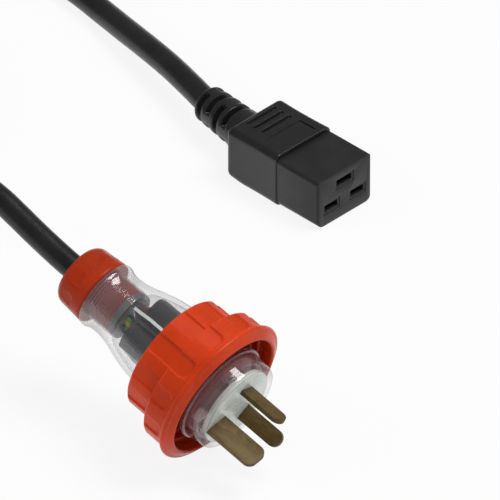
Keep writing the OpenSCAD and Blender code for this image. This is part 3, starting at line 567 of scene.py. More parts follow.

# %% [markdown]
# ## Clear polycarbonate
#
# The plug's body is clear so that an inspector can see the terminals. Thin clear walls show
# mostly by their edges: looked at squarely they almost vanish, and where the wall turns away
# it reflects the room and goes pale. Two shaders do this. One is nearly transparent, the
# other solid and glossy, and how far the surface turns away mixes them. Faint streaks in the
# wall, as moulding leaves, vary how clear it is. The colour of nearby parts is painted into
# the wall as a painted reflection. The nose goes towards the ring's orange, which also stands
# in for the ring's light in it. The neck goes towards the threaded sleeve of the nut, in
# lines that follow its thread.

# %% Clear plastic
def clear(name, tint, edge, veil, painted_reflection_tone, start, end, more, lines):
    """Clear plastic: a thin veil of the tint, which thickens with the fifth power of how far
    the surface turns away, under a reflection of the tone edge whose share is 7 % seen
    squarely and grows with the fourth power. Between start and end millimetres behind the
    plug's face the tint goes to the given colour of the ring or the nut and the veil grows by
    more: a painted reflection of those parts, with the ring's painted orange light on the
    nose. A share lines of that follows a thread of 1 mm pitch."""
    f = Finish(name, ior=1.5)
    streaks = f.noise(7.0, 3.0, stretch=(1.0, 0.3, 1.0))
    turned = f.node("LayerWeight", None, {"Blend": 0.5}, output="Facing")
    ripple = f.bump(streaks, 0.02)
    # Painted reflection: between these depths the wall takes the colour of the ring or the nut.
    near = f.behind_face(start, end)
    crest = (f.along_plug() * (2 * math.pi / MM)).cosine() * lines + 1.0
    tone = f.between(streaks, tint, tuple(0.85 * t for t in tint))
    f.give(base_color=f.node("Mix", {"data_type": "RGBA"},
                             {0: near, 6: tone, 7: (*painted_reflection_tone, 1.0)}, output=2),
           alpha=f.between(streaks, 0.7 * veil, 1.3 * veil) + near * crest * more
           + (turned ** 5.0) * 0.75,
           roughness=f.between(f.noise(3.0, 3.0), 0.04, 0.09), normal=ripple)
    mirror = f.node("BsdfPrincipled", None,
                    {"Base Color": f.between(streaks, edge, tuple(0.9 * e for e in edge)),
                     "Metallic": 1.0, "Roughness": f.between(f.noise(2.0, 2.0), 0.03, 0.06),
                     "Normal": ripple})
    both = f.node("MixShader", None, {0: (turned ** 4.0) * 0.4 + 0.07,
                                      1: Value(f, f.shader.outputs[0]), 2: mirror})
    f.join(f.tree.nodes["Material Output"].inputs["Surface"], both)
    return f


# The nut's red sleeve is painted into the neck, in thread lines: painted reflection.
FINISHES["shell_clear"] = clear("clear_bell", (0.34, 0.31, 0.33), (0.82, 0.80, 0.82), 0.04,
                                (0.38, 0.24, 0.25), 50, 64, 0.17, 0.7)
# The ring's orange is painted into the nose: painted reflection and painted orange light of the
# ring.
NOSE_CLEAR = clear("clear_nose", (0.34, 0.25, 0.28), (0.86, 0.81, 0.83), 0.05,
                   (0.50, 0.10, 0.07), 0, 18, 0.6, 0.0)
print("clear plastics done")

# %% [markdown]
# ## Metals
#
# The pins are drawn brass that has gone dull and brown, with streaks along their length.
# The contacts inside the connector are brighter brass than the pins, yet painted darker than
# bare brass, as painted shade deep in their slots; the screws are plated steel.
# Long thin noise gives the streaks, and round noise the tarnish.

# %% Metals
def drawn(name, dark, light, gloss, axis=(1.0, 0.12, 0.3), metallic=0.9, shine=0.5):
    """Drawn metal: streaks along its length over slow patches of tarnish."""
    f = Finish(name, metallic=metallic, specular_ior_level=shine)
    streak = f.noise(0.5, 3.0, stretch=axis)
    tarnish = f.noise(4.0, 4.0)
    f.give(base_color=f.between(streak * 0.45 + tarnish * 0.55, dark, light, 0.35, 0.65),
           roughness=f.between(tarnish * 0.5 + streak * 0.5, *gloss),
           normal=f.bump(streak, 0.012))
    return f


FINISHES["pin_brass"] = drawn("dull_brass", (0.088, 0.059, 0.020), (0.152, 0.104, 0.038),
                              (0.34, 0.48), metallic=0.12, shine=0.15)
# Partly the brass's own colour, partly painted shade for the slots that the contacts sit deep in.
FINISHES["contact_metal"] = drawn("stamped_brass", (0.36, 0.27, 0.11), (0.55, 0.43, 0.21),
                                  (0.26, 0.4))
FINISHES["screw_steel"] = drawn("plated_steel", (0.52, 0.52, 0.53), (0.72, 0.72, 0.74),
                                (0.22, 0.36))
print("metals done")

# %% [markdown]
# ## Pale plastics and cores
#
# The face plate and the pin carrier behind it are a pale, faintly green plastic. The plate
# lies open to the light. The carrier sits deep inside the orange ring, where the light is low
# and warm, and that is painted into its colour: within that depth it goes over to a dusky
# pink, painted shade and painted orange light. The cores are thin coloured sleeves, the
# earth one green with a yellow stripe.

# %% Pale plastics
def paint_ring_shade(finish, tone, start, end):
    """Paints shade and the orange ring's light into a finish: its colour goes over to a dusky
    tone between two depths behind the plug's face, where the only light comes through the
    orange ring. It sets in over 2.5 mm and ends over 1."""
    within = finish.behind_face(start, start + 2.5) * (1.0 - finish.behind_face(end, end + 1.0))
    open_tone = Value(finish, finish.shader.inputs["Base Color"].links[0].from_socket)
    finish.give(base_color=finish.node("Mix", {"data_type": "RGBA"},
                                       {0: within, 6: open_tone, 7: (*tone, 1.0)}, output=2))
    return finish


# The carrier's colour holds painted shade and painted orange light between 3 and 13 mm behind the
# face.
FINISHES["carrier_white"] = paint_ring_shade(moulded("pale_carrier", (0.78, 0.84, 0.80), (0.87, 0.92, 0.88),
                                          (0.24, 0.36), 0.6, 0.006, coat=0.3, patch=12.0),
                                  (0.40, 0.24, 0.22), 3.0, 12.0)
FINISHES["bridge_white"] = moulded("nylon_bridge", (0.74, 0.72, 0.66), (0.83, 0.81, 0.76),
                                   (0.35, 0.5), 0.5, 0.006)
FINISHES["washer_white"] = moulded("nylon_washer", (0.74, 0.74, 0.70), (0.83, 0.83, 0.80),
                                   (0.35, 0.5), 0.5, 0.006)
print("pale plastics done")

# %% Cores
FINISHES["core_brown"] = moulded("brown_core", (0.15, 0.055, 0.022), (0.21, 0.085, 0.038),
                                 (0.3, 0.42), 0.6, 0.006)
FINISHES["core_blue"] = moulded("blue_core", (0.022, 0.09, 0.38), (0.04, 0.14, 0.50),
                                (0.3, 0.42), 0.6, 0.006)


def striped(name, ground, stripe, width):
    """Two colours in turns around the core: the stripe where a slanted sine is high."""
    f = Finish(name)
    side, up = (f.node("SeparateXYZ", None, {"Vector": f.place}, output=o) for o in "XZ")
    slant = (side * 0.8 + up) * (2 * math.pi / (width * MM))
    f.give(base_color=f.between(slant.sine(), ground, stripe, 0.2, 0.35),
           roughness=f.between(f.noise(1.5), 0.3, 0.42))
    return f


FINISHES["core_green"] = striped("green_yellow_core", (0.07, 0.32, 0.05), (0.75, 0.62, 0.04), 4.0)
unfinished = set(m["slot"] for m in frame["record"]["materials"]) - set(FINISHES)
print(len(FINISHES), "finishes; slots still without one:", sorted(unfinished))

# %% [markdown]
# ## Outlines and turned pieces
#
# Rings, nuts and shells are turned shapes. Their outline is a list of corners, each with
# the distance at which the rounding starts, so an edge can be crisp or soft. Turning it
# round an axis gives the piece, and a function of place may let in valleys. Points go
# where the shape bends: a piece stays under 200,000 triangles.

# %% Rounded outlines
SMALL_ROUND = 0.35


def rounded(corners, step=0.5, closed=True):
    """An outline from (x, y, round) corners, with a point at least every step millimetres.

    A corner is cut off at the distance round on both sides and replaced by the parabola
    (1-u)^2 start + 2u(1-u) corner + u^2 end, in 6 steps, or in 3 where it is small.
    """
    corners = np.array(corners, float)
    points, cut = corners[:, :2], corners[:, 2]
    before, after = np.roll(points, 1, axis=0), np.roll(points, -1, axis=0)
    if not closed:
        before[0], after[-1], cut[0], cut[-1] = points[0] - 1, points[-1] + 1, 0, 0
    runs = []
    for here, size, last, following in zip(points, cut, before, after):
        u = np.linspace(0, 1, 7 if size > SMALL_ROUND else 4)[:, None]
        back = (last - here) * min(size / np.linalg.norm(last - here), 0.48)
        on = (following - here) * min(size / np.linalg.norm(following - here), 0.48)
        bend = here + (1 - u) ** 2 * back + u ** 2 * on
        runs.append(bend if size else here[None])
    curve = np.vstack(runs + ([runs[0][:1]] if closed else []))
    run = np.concatenate([[0], np.cumsum(np.linalg.norm(np.diff(curve, axis=0), axis=1))])
    pieces = np.maximum(1, np.ceil(np.diff(run) / step)).astype(int)
    at = np.concatenate([np.linspace(a, b, n, endpoint=False)
                         for a, b, n in zip(run[:-1], run[1:], pieces)] + [run[-1:]])
    even = np.column_stack([np.interp(at, run, curve[:, k]) for k in (0, 1)])
    return even[:-1] if closed else even


print("outlines can have crisp and soft corners")

# %% Turned pieces
def even_turns(count):
    return np.linspace(0, 2 * math.pi, count, endpoint=False)


def turned(name, outline, turns, place, shape=None, wrap=True, crease=40):
    """Turns an outline of (radius, depth) points: (r cos a, r sin a) at each depth, where
    shape(r, depth, a) may change the radius r."""
    r, depth = outline[:, :1], outline[:, 1:]
    a = turns[None, :]
    if shape is not None:
        r = shape(r, depth, a)
    grid = place(r * np.cos(a), r * np.sin(a), depth + 0 * a)
    return surface(name, grid, wrap_rows=wrap, crease=crease)


print("outlines can be turned")

# %% Soft steps
def smoothstep(low, high, x):
    """0 below low, 1 above high, u squared times 3 - 2u between."""
    u = np.clip((x - low) / (high - low), 0, 1)
    return u * u * (3 - 2 * u)


def inside(x, along, half, front, back, corner):
    """Distance inside a rectangle with round corners: positive inside, negative outside."""
    over = np.maximum(np.abs(x) - half, np.maximum(front - along, along - back))
    qx = np.maximum(np.abs(x) - (half - corner), 0)
    qy = np.maximum(np.maximum(front + corner - along, along - back + corner), 0)
    near_corner = np.hypot(qx, qy) - corner
    return -np.where((qx > 0) & (qy > 0), near_corner, over)


print("half way up a soft step:", smoothstep(0.0, 1.0, 0.5))

# %% [markdown]
# ## The connector's grip
#
# The grip is a soft-edged block, a little waisted so that fingers find it. Its outline
# stays a rounded rectangle, carried from front to back: the edges at both ends draw in
# along a quarter circle, the sides bow in, and the underside rises at the back. Three
# short finger grooves and a fine framing line are pressed into the top. The line's field
# is where a rating would be moulded, and it stays bare.

# %% The grip's outline
def rounded_box(width, height, top, bottom, across):
    """A rounded rectangle standing on z = 0, with outward normals; across gives the x
    places of the points on its top edge. Corners are arcs of 12 points."""
    arc = np.radians(np.linspace(0, 90, 12))
    w, up = width / 2, np.linspace(bottom, height - top, 24)[1:-1]
    low = np.linspace(-w + bottom, w - bottom, 30)[1:-1]

    def corner(x, z, r, start):
        a = arc + math.radians(start)
        return np.column_stack([x + r * np.cos(a), z + r * np.sin(a), np.cos(a), np.sin(a)])

    def edge(x, z, nx, nz):
        return np.column_stack([np.broadcast_to(v, np.broadcast(x, z).shape)
                                for v in (x, z, nx, nz)])

    return np.vstack([corner(w - top, height - top, top, 0), edge(across[::-1], height, 0, 1),
                      corner(-w + top, height - top, top, 90), edge(-w, up[::-1], -1, 0),
                      corner(-w + bottom, bottom, bottom, 180), edge(low, 0.0, 0, -1),
                      corner(w - bottom, bottom, bottom, 270), edge(w, up, 1, 0)])


def dense(start, end, coarse, spots, fine):
    """Places from start to end, coarse apart, and fine apart inside the given spots."""
    marks = [np.arange(start, end, coarse)] + [np.arange(a, b, fine) for a, b in spots]
    marks = np.unique(np.round(np.concatenate(marks), 3))
    keep = np.concatenate([[True], np.diff(marks) > fine * 0.6])
    return marks[keep]


TOP_EDGE_R, BOTTOM_EDGE_R = 2.6, 3.0
across = dense(-11.2, 11.2, 0.8, [(-7.9, -5.7), (7.1, 9.0)], 0.14)
outline = rounded_box(GRIP_WIDTH, GRIP_HEIGHT, TOP_EDGE_R, BOTTOM_EDGE_R, across)
print("the grip's outline has", len(outline), "points")

# %% The grip's block
FRONT_EDGE_R, BACK_EDGE_R = 0.6, 2.0
WAIST, BACK_RISE = 0.35, 1.92

along = dense(0.75, 22.9, 0.8, [(2.0, 2.8), (9.3, 10.5), (13.2, 15.4), (16.9, 19.1),
                                (20.6, 22.8)], 0.13)
quarter = np.radians(np.linspace(0, 90, 8))
rows_y = np.concatenate([FRONT_EDGE_R * (1 - np.cos(quarter)), along,
                         GRIP_LENGTH - BACK_EDGE_R * (1 - np.sin(quarter))])
rows_in = np.concatenate([FRONT_EDGE_R * (1 - np.sin(quarter)), 0 * along,
                          BACK_EDGE_R * (1 - np.cos(quarter))])

x, z, nx, nz = (outline[None, :, k] for k in range(4))
y, draw_in = rows_y[:, None], rows_in[:, None]
bow = WAIST * (1 - (2 * y / GRIP_LENGTH - 1) ** 2)
rise = BACK_RISE * smoothstep(GRIP_LENGTH - 9.0, GRIP_LENGTH + 5.0, y) * (1 - z / GRIP_HEIGHT)
grip_x = x - nx * draw_in - bow * x / (GRIP_WIDTH / 2)
grip_z = z - nz * draw_in + rise
print("the block has", grip_z.size, "points")

# %% The grip's grooves and framing line
GROOVES, GROOVE_FIRST, GROOVE_PITCH, GROOVE_WIDTH = 3, 13.5, 3.7, 1.6
GROOVE_DEPTH, LINE_DEPTH = 1.0, 0.55

on_top = nz > 0.99
for k in range(GROOVES):
    groove = inside(x - 0.85, y - (GROOVE_FIRST + GROOVE_PITCH * k), 7.3, 0.0, GROOVE_WIDTH, 0.79)
    grip_z = grip_z - on_top * GROOVE_DEPTH * smoothstep(-0.15, 0.35, groove)
line = np.maximum(inside(x - 0.5, y, 8.1, 9.6, 10.2, 0.05),
                  inside(x - 8.4, y, 0.3, 2.3, 10.2, 0.05))
grip_z = grip_z - on_top * LINE_DEPTH * smoothstep(-0.12, 0.22, line)
grip_rows = np.stack([grip_x, STEP_Y + y + 0 * x, grip_z], axis=-1)
print("pressed in:", GROOVES, "grooves", GROOVE_DEPTH, "mm deep, and a line", LINE_DEPTH, "mm deep")

# %% The grip
POCKET_DEPTH = 5.0  # room for the front block's tongue

pocket = np.stack([np.clip(grip_rows[0, :, 0], -12.5, 12.5), grip_rows[0, :, 1],
                   np.clip(grip_rows[0, :, 2], 2.0, 19.0)], axis=-1)
pocket_end = np.broadcast_to([0, STEP_Y + POCKET_DEPTH, AXIS_Z], pocket.shape)
back_end = np.broadcast_to([0, BACK_Y, AXIS_Z], pocket.shape)
grid = np.concatenate([pocket_end[None], (pocket + [0, POCKET_DEPTH, 0])[None], pocket[None],
                       grip_rows, (grip_rows[-1:] + back_end) / 2, back_end[None]])
dress(surface("grip", grid), "lead_set", "connector_body", "overmould")

# %% [markdown]
# ## The strain relief
#
# A solid sleeve would make the cord kink at its end, so the sleeve is slotted: four rows
# of two slots, each row turned a quarter against the next. The bridges left between the
# slots let it bend like a chain. It is one height field round its axis: the radius falls
# from the grip to a rounded end bead, and drops to the floor of a slot where one is cut.

# %% The strain relief
SLOT_HALF, SLOT_FLOOR, BRIDGE_HALF = 1.15, CORD_R + 0.6, 2.4
RELIEF_ROOT_R, RELIEF_END_R, BEAD_R = 8.1, 6.9, 1.2
slot_middles = [RELIEF_LENGTH - 3.0 - 4.8 * k for k in range(4)]


def relief_radius(r, depth, a):
    """The sleeve's radius, let down to the slots' floor: a slot is 2.3 mm wide along the axis
    and reaches all round but for a bridge 4.8 mm wide on two opposite sides."""
    before_end = depth < RELIEF_LENGTH - 1
    for k, middle in enumerate(slot_middles):
        side = np.abs(r * (np.cos(a) if k % 2 == 0 else np.sin(a)))
        cut = np.minimum(SLOT_HALF - np.abs(depth - middle), side - BRIDGE_HALF)
        r = r - smoothstep(-0.35, 0.45, cut) * np.maximum(0, r - SLOT_FLOOR) * before_end
    return r


bead_start = RELIEF_LENGTH - BEAD_R
sleeve_depth = dense(0.0, bead_start, 0.7, [(m - 1.4, m + 1.4) for m in slot_middles], 0.12)
sleeve = np.column_stack([RELIEF_ROOT_R - (RELIEF_ROOT_R - RELIEF_END_R) * sleeve_depth / bead_start,
                          sleeve_depth])
bead_turn = np.radians(np.linspace(0, 100, 14))
bead = np.column_stack([RELIEF_END_R - BEAD_R + BEAD_R * np.cos(bead_turn),
                        bead_start + BEAD_R * np.sin(bead_turn)])
relief_outline = np.vstack([[[0.0, 0.0]], sleeve, bead, [[4.5, RELIEF_LENGTH - 0.4],
                                                        [0.0, RELIEF_LENGTH - 0.4]]])
dress(turned("strain_relief", relief_outline, even_turns(160), in_relief, relief_radius,
             wrap=False), "lead_set", "connector_body")

# %% [markdown]
# ## CAD pieces with softened edges
#
# The front block, the pins, the carrier and the small parts inside keep the CAD model's
# own solids, which have their true shape. Moulded and stamped edges are never razor sharp,
# so each gets a narrow bevel that catches the light. Round parts, such as the washer and
# the cores, are only shaded smooth.

# %% Softened CAD nodes
def soften(node, width, angle=25):
    """Joins a CAD node's flat faces and rounds its edges by width millimetres."""
    piece = frame["nodes"][node]
    weld = piece.modifiers.new("weld", "WELD")
    weld.merge_threshold = 5e-6
    flats = piece.modifiers.new("flats", "DECIMATE")
    flats.decimate_type, flats.angle_limit = "DISSOLVE", math.radians(0.8)
    bevel = piece.modifiers.new("bevel", "BEVEL")
    bevel.width, bevel.segments, bevel.angle_limit = width * MM, 3, math.radians(angle)
    bevel.limit_method, bevel.miter_outer = "ANGLE", "MITER_ARC"
    bevel.harden_normals = True
    piece.data.shade_smooth()
    piece.data.set_sharp_from_angle(angle=math.radians(angle))


BEVELS = {"contact_carrier": 0.45, "face_plate": 0.15, "pin_carrier": 0.25, "terminal_block": 0.3,
          "terminal_barrier": 0.2, "plug_earth_pin": 0.16, "plug_line_pin": 0.16,
          "plug_neutral_pin": 0.16, "contact_bridge": 0.3, "carrier_screws": 0.12,
          "terminal_screws": 0.1, "line_contact": 0.08, "neutral_contact": 0.08,
          "earth_contact": 0.08}
for node, width in BEVELS.items():
    soften(node, width)
for node in ("gland_washer", "gland_seal", "shell_gasket", "line_core", "neutral_core",
             "earth_core", "plug_line_core", "plug_neutral_core", "plug_earth_core"):
    frame["nodes"][node].data.shade_smooth()
    frame["nodes"][node].data.set_sharp_from_angle(angle=math.radians(40))
print("softened", len(BEVELS), "CAD nodes")

# %% [markdown]
# ## The locking ring
#
# The ring screws over a socket's threaded shroud and pulls the plug's seal tight. It has
# two tiers: a wide front grip with a rolled lip, and a narrower one behind. Both are cut by
# the same twelve flat valleys, so wet fingers can turn it. The valleys of the front tier
# start with round corners behind the lip and run out at the step. The lip's face leans
# forward towards the mouth, and ridges inside catch the thread. All of it is one turned
# outline, whose radius drops to a flat floor, (radius - depth) / cos(angle), in a valley.

# %% Valleys in a turned piece
def valley_floor(r, tier, depth, count, middle, half, a, along, front, back, corner):
    """Lets count flat valleys into the tier's surface, each half wide to both sides."""
    step = 2 * math.pi / count
    local = (a - math.radians(middle) + step / 2) % step - step / 2
    floor = (tier - depth) / np.cos(local)
    cut = smoothstep(-0.15, 0.4, inside(tier * np.sin(local), along, half, front, back, corner))
    return r - cut * np.maximum(0, r - floor)


def sector_turns(count, middle, near, far):
    """Angles for count equal sectors: close together from near to far degrees each side of
    a valley's middle, where its edges are, and wider elsewhere."""
    side = np.concatenate([np.arange(0, near, 1.75), np.arange(near, far, 0.35),
                           np.arange(far, 180 / count, 1.75)])
    sector = np.concatenate([-side[:0:-1], side])
    turns = middle + sector[None] + 360 / count * np.arange(count)[:, None]
    return np.radians(turns.ravel())


print("valleys can be let into any turned piece")

# %% The locking ring
FRONT_TIER, REAR_TIER = 27.2, 23.0
VALLEY_DEPTH, TO_THE_END = 0.9, 99
RING_VALLEYS, RING_VALLEY_TURN, RING_VALLEY_HALF = 12, 12.5, 3.8


def ring_radius(r, depth, a):
    """Twelve valleys through the front tier and twelve in line with them through the rear."""
    front = (r > 25.8) & (depth > 11.5) & (depth < 20.6)
    rear = (r > 21.5) & (r < 23.4) & (depth > 20.2)
    valleys = (RING_VALLEYS, RING_VALLEY_TURN, RING_VALLEY_HALF, a, depth)
    r = r + 0 * a
    r = np.where(front, valley_floor(r, FRONT_TIER, VALLEY_DEPTH, *valleys,
                                     12.2, TO_THE_END, 2.2), r)
    return np.where(rear, valley_floor(r, REAR_TIER, VALLEY_DEPTH, *valleys,
                                       -TO_THE_END, TO_THE_END, 0.1), r)


lip = [(27.55 + 1.25 * math.cos(t), 9.75 - 1.25 * math.sin(t), 0)
       for t in np.radians(np.arange(-80, 91, 10))]
ring_outline = rounded(
    [(18.1, 32.5, 0.3), (22.0, 32.5, 0.7), (REAR_TIER, 31.5, 0.6), (REAR_TIER, 20.3, 0.4),
     (26.3, 20.3, 0.5), (FRONT_TIER, 19.5, 0.6), (FRONT_TIER, 11.0, 0.5), *lip,
     (24.9, 6.9, 0.6), (24.2, 7.5, 0.5), (24.2, 11.0, 0.2), (24.6, 11.4, 0.3), (24.6, 13.5, 0.2),
     (24.0, 13.8, 0.3), (24.0, 14.8, 0.3), (24.6, 15.1, 0.2), (24.6, 16.9, 0.2),
     (24.0, 17.2, 0.3), (24.0, 18.2, 0.3), (24.6, 18.5, 0.2), (24.6, 19.8, 0.3),
     (19.5, 19.8, 0.3), (19.5, 21.7, 0.2), (20.7, 21.7, 0.2), (20.7, 30.0, 0.2),
     (18.1, 30.0, 0.2)], 0.42)
ring_turns = sector_turns(RING_VALLEYS, RING_VALLEY_TURN, 7.0, 10.1)
ring = dress(turned("ring", ring_outline, ring_turns, in_plug, ring_radius),
             "locking_ring", "ring_orange", "locking_ring")

# %% [markdown]
# ## The gland nut
#
# The nut squeezes a rubber seal onto the cord. Its head has eight shallow valleys that end
# in a round shoulder before the front edge. Its threaded sleeve goes into the clear neck,
# where the fine thread shows through the wall. The thread is a true helix with two starts
# and 2 mm of travel per turn: its radius follows cos(2 pi depth / 1 mm + 2 angle), so the
# crests keep their place in the neck's thread while the nut unscrews. Between its crests
# the sleeve is cut inwards, and the neck outwards, so the two never touch.

# %% The gland nut's head
NUT_R, NUT_VALLEYS, NUT_VALLEY_TURN, NUT_VALLEY_HALF = 12.6, 8, 3.0, 2.8


def nut_radius(r, depth, a):
    """Eight valleys from the back of the head to a round shoulder 4.6 mm from its front."""
    skin = (r > 9.8) & (depth > 66)
    r = r + 0 * a
    return np.where(skin, valley_floor(r, NUT_R, VALLEY_DEPTH, NUT_VALLEYS, NUT_VALLEY_TURN,
                                       NUT_VALLEY_HALF, a, depth, 70.3, TO_THE_END, 1.6), r)


nut_outline = rounded([(5.1, 78.3, 0.4), (10.2, 78.3, 1.0), (11.8, 76.3, 1.0),
                       (NUT_R, 66.5, 0.5), (12.3, 65.7, 0.3), (8.9, 65.7, 0.1),
                       (8.9, 66.6, 0.1), (7.6, 66.6, 0.1), (7.6, 74.0, 0.3), (5.1, 74.0, 0.3)],
                      0.35)
nut_turns = sector_turns(NUT_VALLEYS, NUT_VALLEY_TURN, 10.5, 16.0)
nut = dress(turned("nut_head", nut_outline, nut_turns, in_plug, nut_radius),
            "gland_nut", "nut_orange", "gland_nut")

# %% The gland nut's threaded sleeve
SLEEVE_R, SLEEVE_THREAD = 8.95, 0.18


def thread(middle, height, low, high, lift):
    """A function that adds height times (cos(2 pi depth + 2 a) + lift) to the radii near
    middle: a two-start thread of 1 mm pitch, cut outwards for a lift of 1, inwards for -1."""
    def radius(r, depth, a):
        wave = np.cos(2 * math.pi * depth + 2 * a) + lift
        span = smoothstep(low, low + 0.6, depth) * smoothstep(-high, 0.6 - high, -depth)
        return r + (np.abs(r - middle) < 0.05) * span * height * wave
    return radius


sleeve_outline = rounded([(7.6, 66.6, 0.1), (SLEEVE_R, 66.6, 0.1), (SLEEVE_R, 54.8, 0.4),
                          (7.6, 54.8, 0.3)], 0.125)
sleeve_piece = dress(turned("nut_sleeve", sleeve_outline, even_turns(120), in_plug,
                            thread(SLEEVE_R, SLEEVE_THREAD, 55.0, 66.0, -1), crease=80),
                     "gland_nut", "nut_orange")

# %% [markdown]
# ## The clear shells
#
# The body is two clear mouldings. The front one is the nose: a rounded rim round the pale
# plate that the pins pass through, a ledge behind the plate, and a barrel that goes back
# under the ring, with a flat collar that closes the gap inside it. The rear one tapers like a
# bell to a neck that takes the gland. Both are double-walled turned outlines, so the inner
# surface reflects as well, with the neck's own fine thread inside.

# %% The front shell
EARTH_TURN, EARTH_SLOT_HALF, EARTH_SLOT_R = math.radians(193), 0.95, 15.1


def nose_radius(r, depth, a):
    """The earth pin's slot: the ledge is let out to 15.1 within 0.95 mm of its middle."""
    r = r + 0 * a
    in_slot = (np.abs(r * np.sin(a - EARTH_TURN)) < EARTH_SLOT_HALF) & (np.cos(a - EARTH_TURN) > 0)
    return np.where((r < EARTH_SLOT_R) & in_slot, EARTH_SLOT_R, r)


rim = [(16.5 + 1.3 * math.cos(t), 1.2 - 1.2 * math.sin(t), 0)
       for t in np.radians(np.arange(180, -1, -15))]
nose_outline = rounded(
    [*rim, (18.4, 8.3, 0.3), (19.3, 8.3, 0.4),
     (19.3, 9.5, 0.3), (18.7, 9.5, 0.2), (18.7, 17.4, 0.3), (23.7, 17.4, 0.3),
     (23.7, 18.8, 0.3), (18.7, 18.8, 0.2), (18.7, 22.0, 0.2), (20.3, 22.0, 0.3),
     (20.3, 25.7, 0.3), (18.0, 25.7, 0.2), (18.0, 28.9, 0.3), (16.4, 28.9, 0.3),
     (16.4, 4.3, 0.3), (14.2, 4.3, 0.2), (14.2, 2.9, 0.2), (15.2, 2.9, 0.1)], 0.8)
slot_edges = np.radians([188.9, 189.5, 196.5, 197.1])
nose_turns = np.sort(np.concatenate([even_turns(160), slot_edges]))
nose = dress(turned("nose", nose_outline, nose_turns, in_plug, nose_radius),
             "lead_set", "shell_clear", "front_shell")

# %% The rear shell
NECK_BORE, NECK_THREAD = 9.3, 0.12

bell_outline = rounded(
    [(20.3, 26.3, 0.3), (20.3, 29.7, 0.4), (17.7, 29.7, 0.6), (17.0, 34.0, 2), (16.4, 38.0, 2),
     (15.8, 42.0, 2), (15.0, 45.5, 2), (13.8, 49.5, 2), (12.6, 53.5, 2), (12.0, 57.0, 2),
     (11.95, 60.0, 1), (12.3, 62.0, 1), (13.0, 63.5, 0.7), (13.0, 65.4, 0.5),
     (NECK_BORE, 65.5, 0.3), (NECK_BORE, 52.0, 0.3), (6.6, 52.0, 0.2), (6.6, 50.8, 0.2),
     (11.2, 50.8, 0.4), (11.8, 49.5, 1), (13.1, 45.5, 2), (14.0, 42.0, 2), (14.8, 38.0, 2),
     (15.2, 29.7, 0.4), (18.15, 29.7, 0.2), (18.15, 26.3, 0.2)], 0.16)
bell = dress(turned("bell", bell_outline, even_turns(136), in_plug,
                    thread(NECK_BORE, NECK_THREAD, 52.4, 65.0, 1), crease=80),
             "lead_set", "shell_clear", "rear_shell")

# %% [markdown]
# ## Floor and background
#
# The lead lies on a pale floor that runs out into a white background. The floor shows the
# camera mostly its own even white, and a share of the real light on it, so the pieces keep
# a soft shadow. Glossy and clear pieces see the same white. The surround is white to the
# camera too, and gives the pieces a low, even light.

# %% Floor and background
FLOOR_HALF, FLOOR_GLOW, SURROUND_LEVEL = 6.0, 0.88, 0.26
floor_mesh = bpy.data.meshes.new("floor")
floor_mesh.from_pydata([(FLOOR_HALF * i, FLOOR_HALF * j, 0)
                        for i, j in ((-1, -1), (1, -1), (1, 1), (-1, 1))], [], [(0, 1, 2, 3)])
floor = bpy.data.objects.new("floor", floor_mesh)
bpy.context.scene.collection.objects.link(floor)
floor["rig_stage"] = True

paper = Finish("white_floor", base_color=(0.9, 0.9, 0.9, 1.0), roughness=0.9)
seen = [paper.node("LightPath", output=ray) for ray in ("Is Camera Ray", "Is Glossy Ray",
                                                        "Is Transmission Ray")]
glow = paper.node("Emission", None, {"Color": (1.0, 1.0, 1.0, 1.0), "Strength": 1.0})
paper.join(paper.tree.nodes["Material Output"].inputs["Surface"],
           paper.node("MixShader", None, {0: (seen[0] + seen[1] + seen[2]) * FLOOR_GLOW,
                                          1: Value(paper, paper.shader.outputs[0]), 2: glow}))
floor.data.materials.append(paper.material)

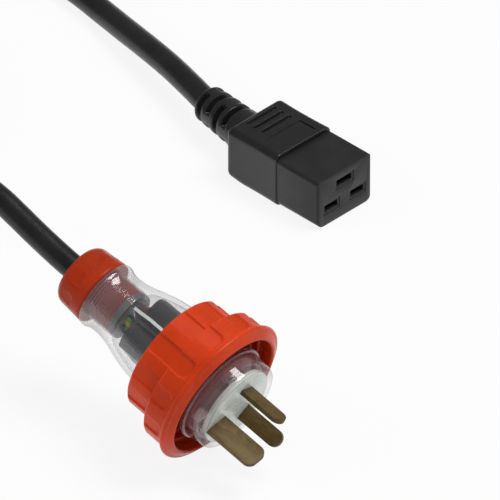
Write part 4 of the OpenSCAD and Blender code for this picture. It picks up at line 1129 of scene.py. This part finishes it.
world = bpy.data.worlds.new("surround")
world.use_nodes = True
tree = world.node_tree
surround, path = tree.nodes["Background"], tree.nodes.new("ShaderNodeLightPath")
surround.inputs["Color"].default_value = (1.0, 1.0, 1.0, 1.0)
level = tree.nodes.new("ShaderNodeMapRange")
level.inputs["To Min"].default_value = SURROUND_LEVEL
level.inputs["To Max"].default_value = 1.0
tree.links.new(path.outputs["Is Camera Ray"], level.inputs["Value"])
tree.links.new(level.outputs[0], surround.inputs["Strength"])
bpy.context.scene.world = world
print("floor and surround are white")

# %% [markdown]
# ## Light
#
# Two soft panels light the lead: a large one above and to the right, and a weaker one from
# the left. The left one only lifts the shadows. It shows in no glossy surface, because its
# reflection would lie as a white streak across the clear shell. At this level a colour
# renders about as it is written.

# %% The lights
def panel(name, right, up, back, size, power, mirrored=True):
    """A square light at a place measured from the view's aim, in metres, that faces it. One
    that isn't mirrored only lifts the shadows, and shows in no glossy surface."""
    light = bpy.data.objects.new(name, bpy.data.lights.new(name, "AREA"))
    light.visible_glossy = mirrored
    light.data.size, light.data.energy = size, power
    place = right * view_right + up * view_up + back * view_back
    light.location = view_aim + place
    side = np.cross([0, 0, 1.0], place)
    side /= np.linalg.norm(side)
    facing = place / np.linalg.norm(place)
    turn = np.column_stack([side, np.cross(facing, side), facing])
    light.rotation_euler = Matrix(turn.tolist()).to_euler()
    bpy.context.scene.collection.objects.link(light)
    light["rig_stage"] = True
    return light


panel("key", 0.55, 0.95, 0.8, 0.65, 12.5)
panel("fill", -1.1, 0.4, 0.6, 0.5, 3.2, mirrored=False)
print("two panels and the surround light the lead")

# %% [markdown]
# ## Putting the finishes on
#
# Every piece and every CAD node takes the finish of its material slot. The nut's sleeve is
# then given a darker, dustier red than the nut, painted shade for how it shows through the
# clear neck. The nose is given the clear plastic with the ring's colour painted into it as a
# painted reflection.

# %% Materials
slot_of = {part["node"]: part["material_slot"] for part in frame["record"]["subparts"]}
for node, slot in slot_of.items():
    frame["nodes"][node].data.materials.clear()
    frame["nodes"][node].data.materials.append(FINISHES[slot].material)
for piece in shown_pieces():
    if "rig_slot" in piece:
        piece.data.materials.clear()
        piece.data.materials.append(FINISHES[piece["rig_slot"]].material)
# The sleeve takes its painted-shade red, and the nose the clear plastic with the ring's painted
# reflection.
sleeve_piece.data.materials[0] = SLEEVE_PAINTED_SHADE.material
nose.data.materials[0] = NOSE_CLEAR.material

# %% [markdown]
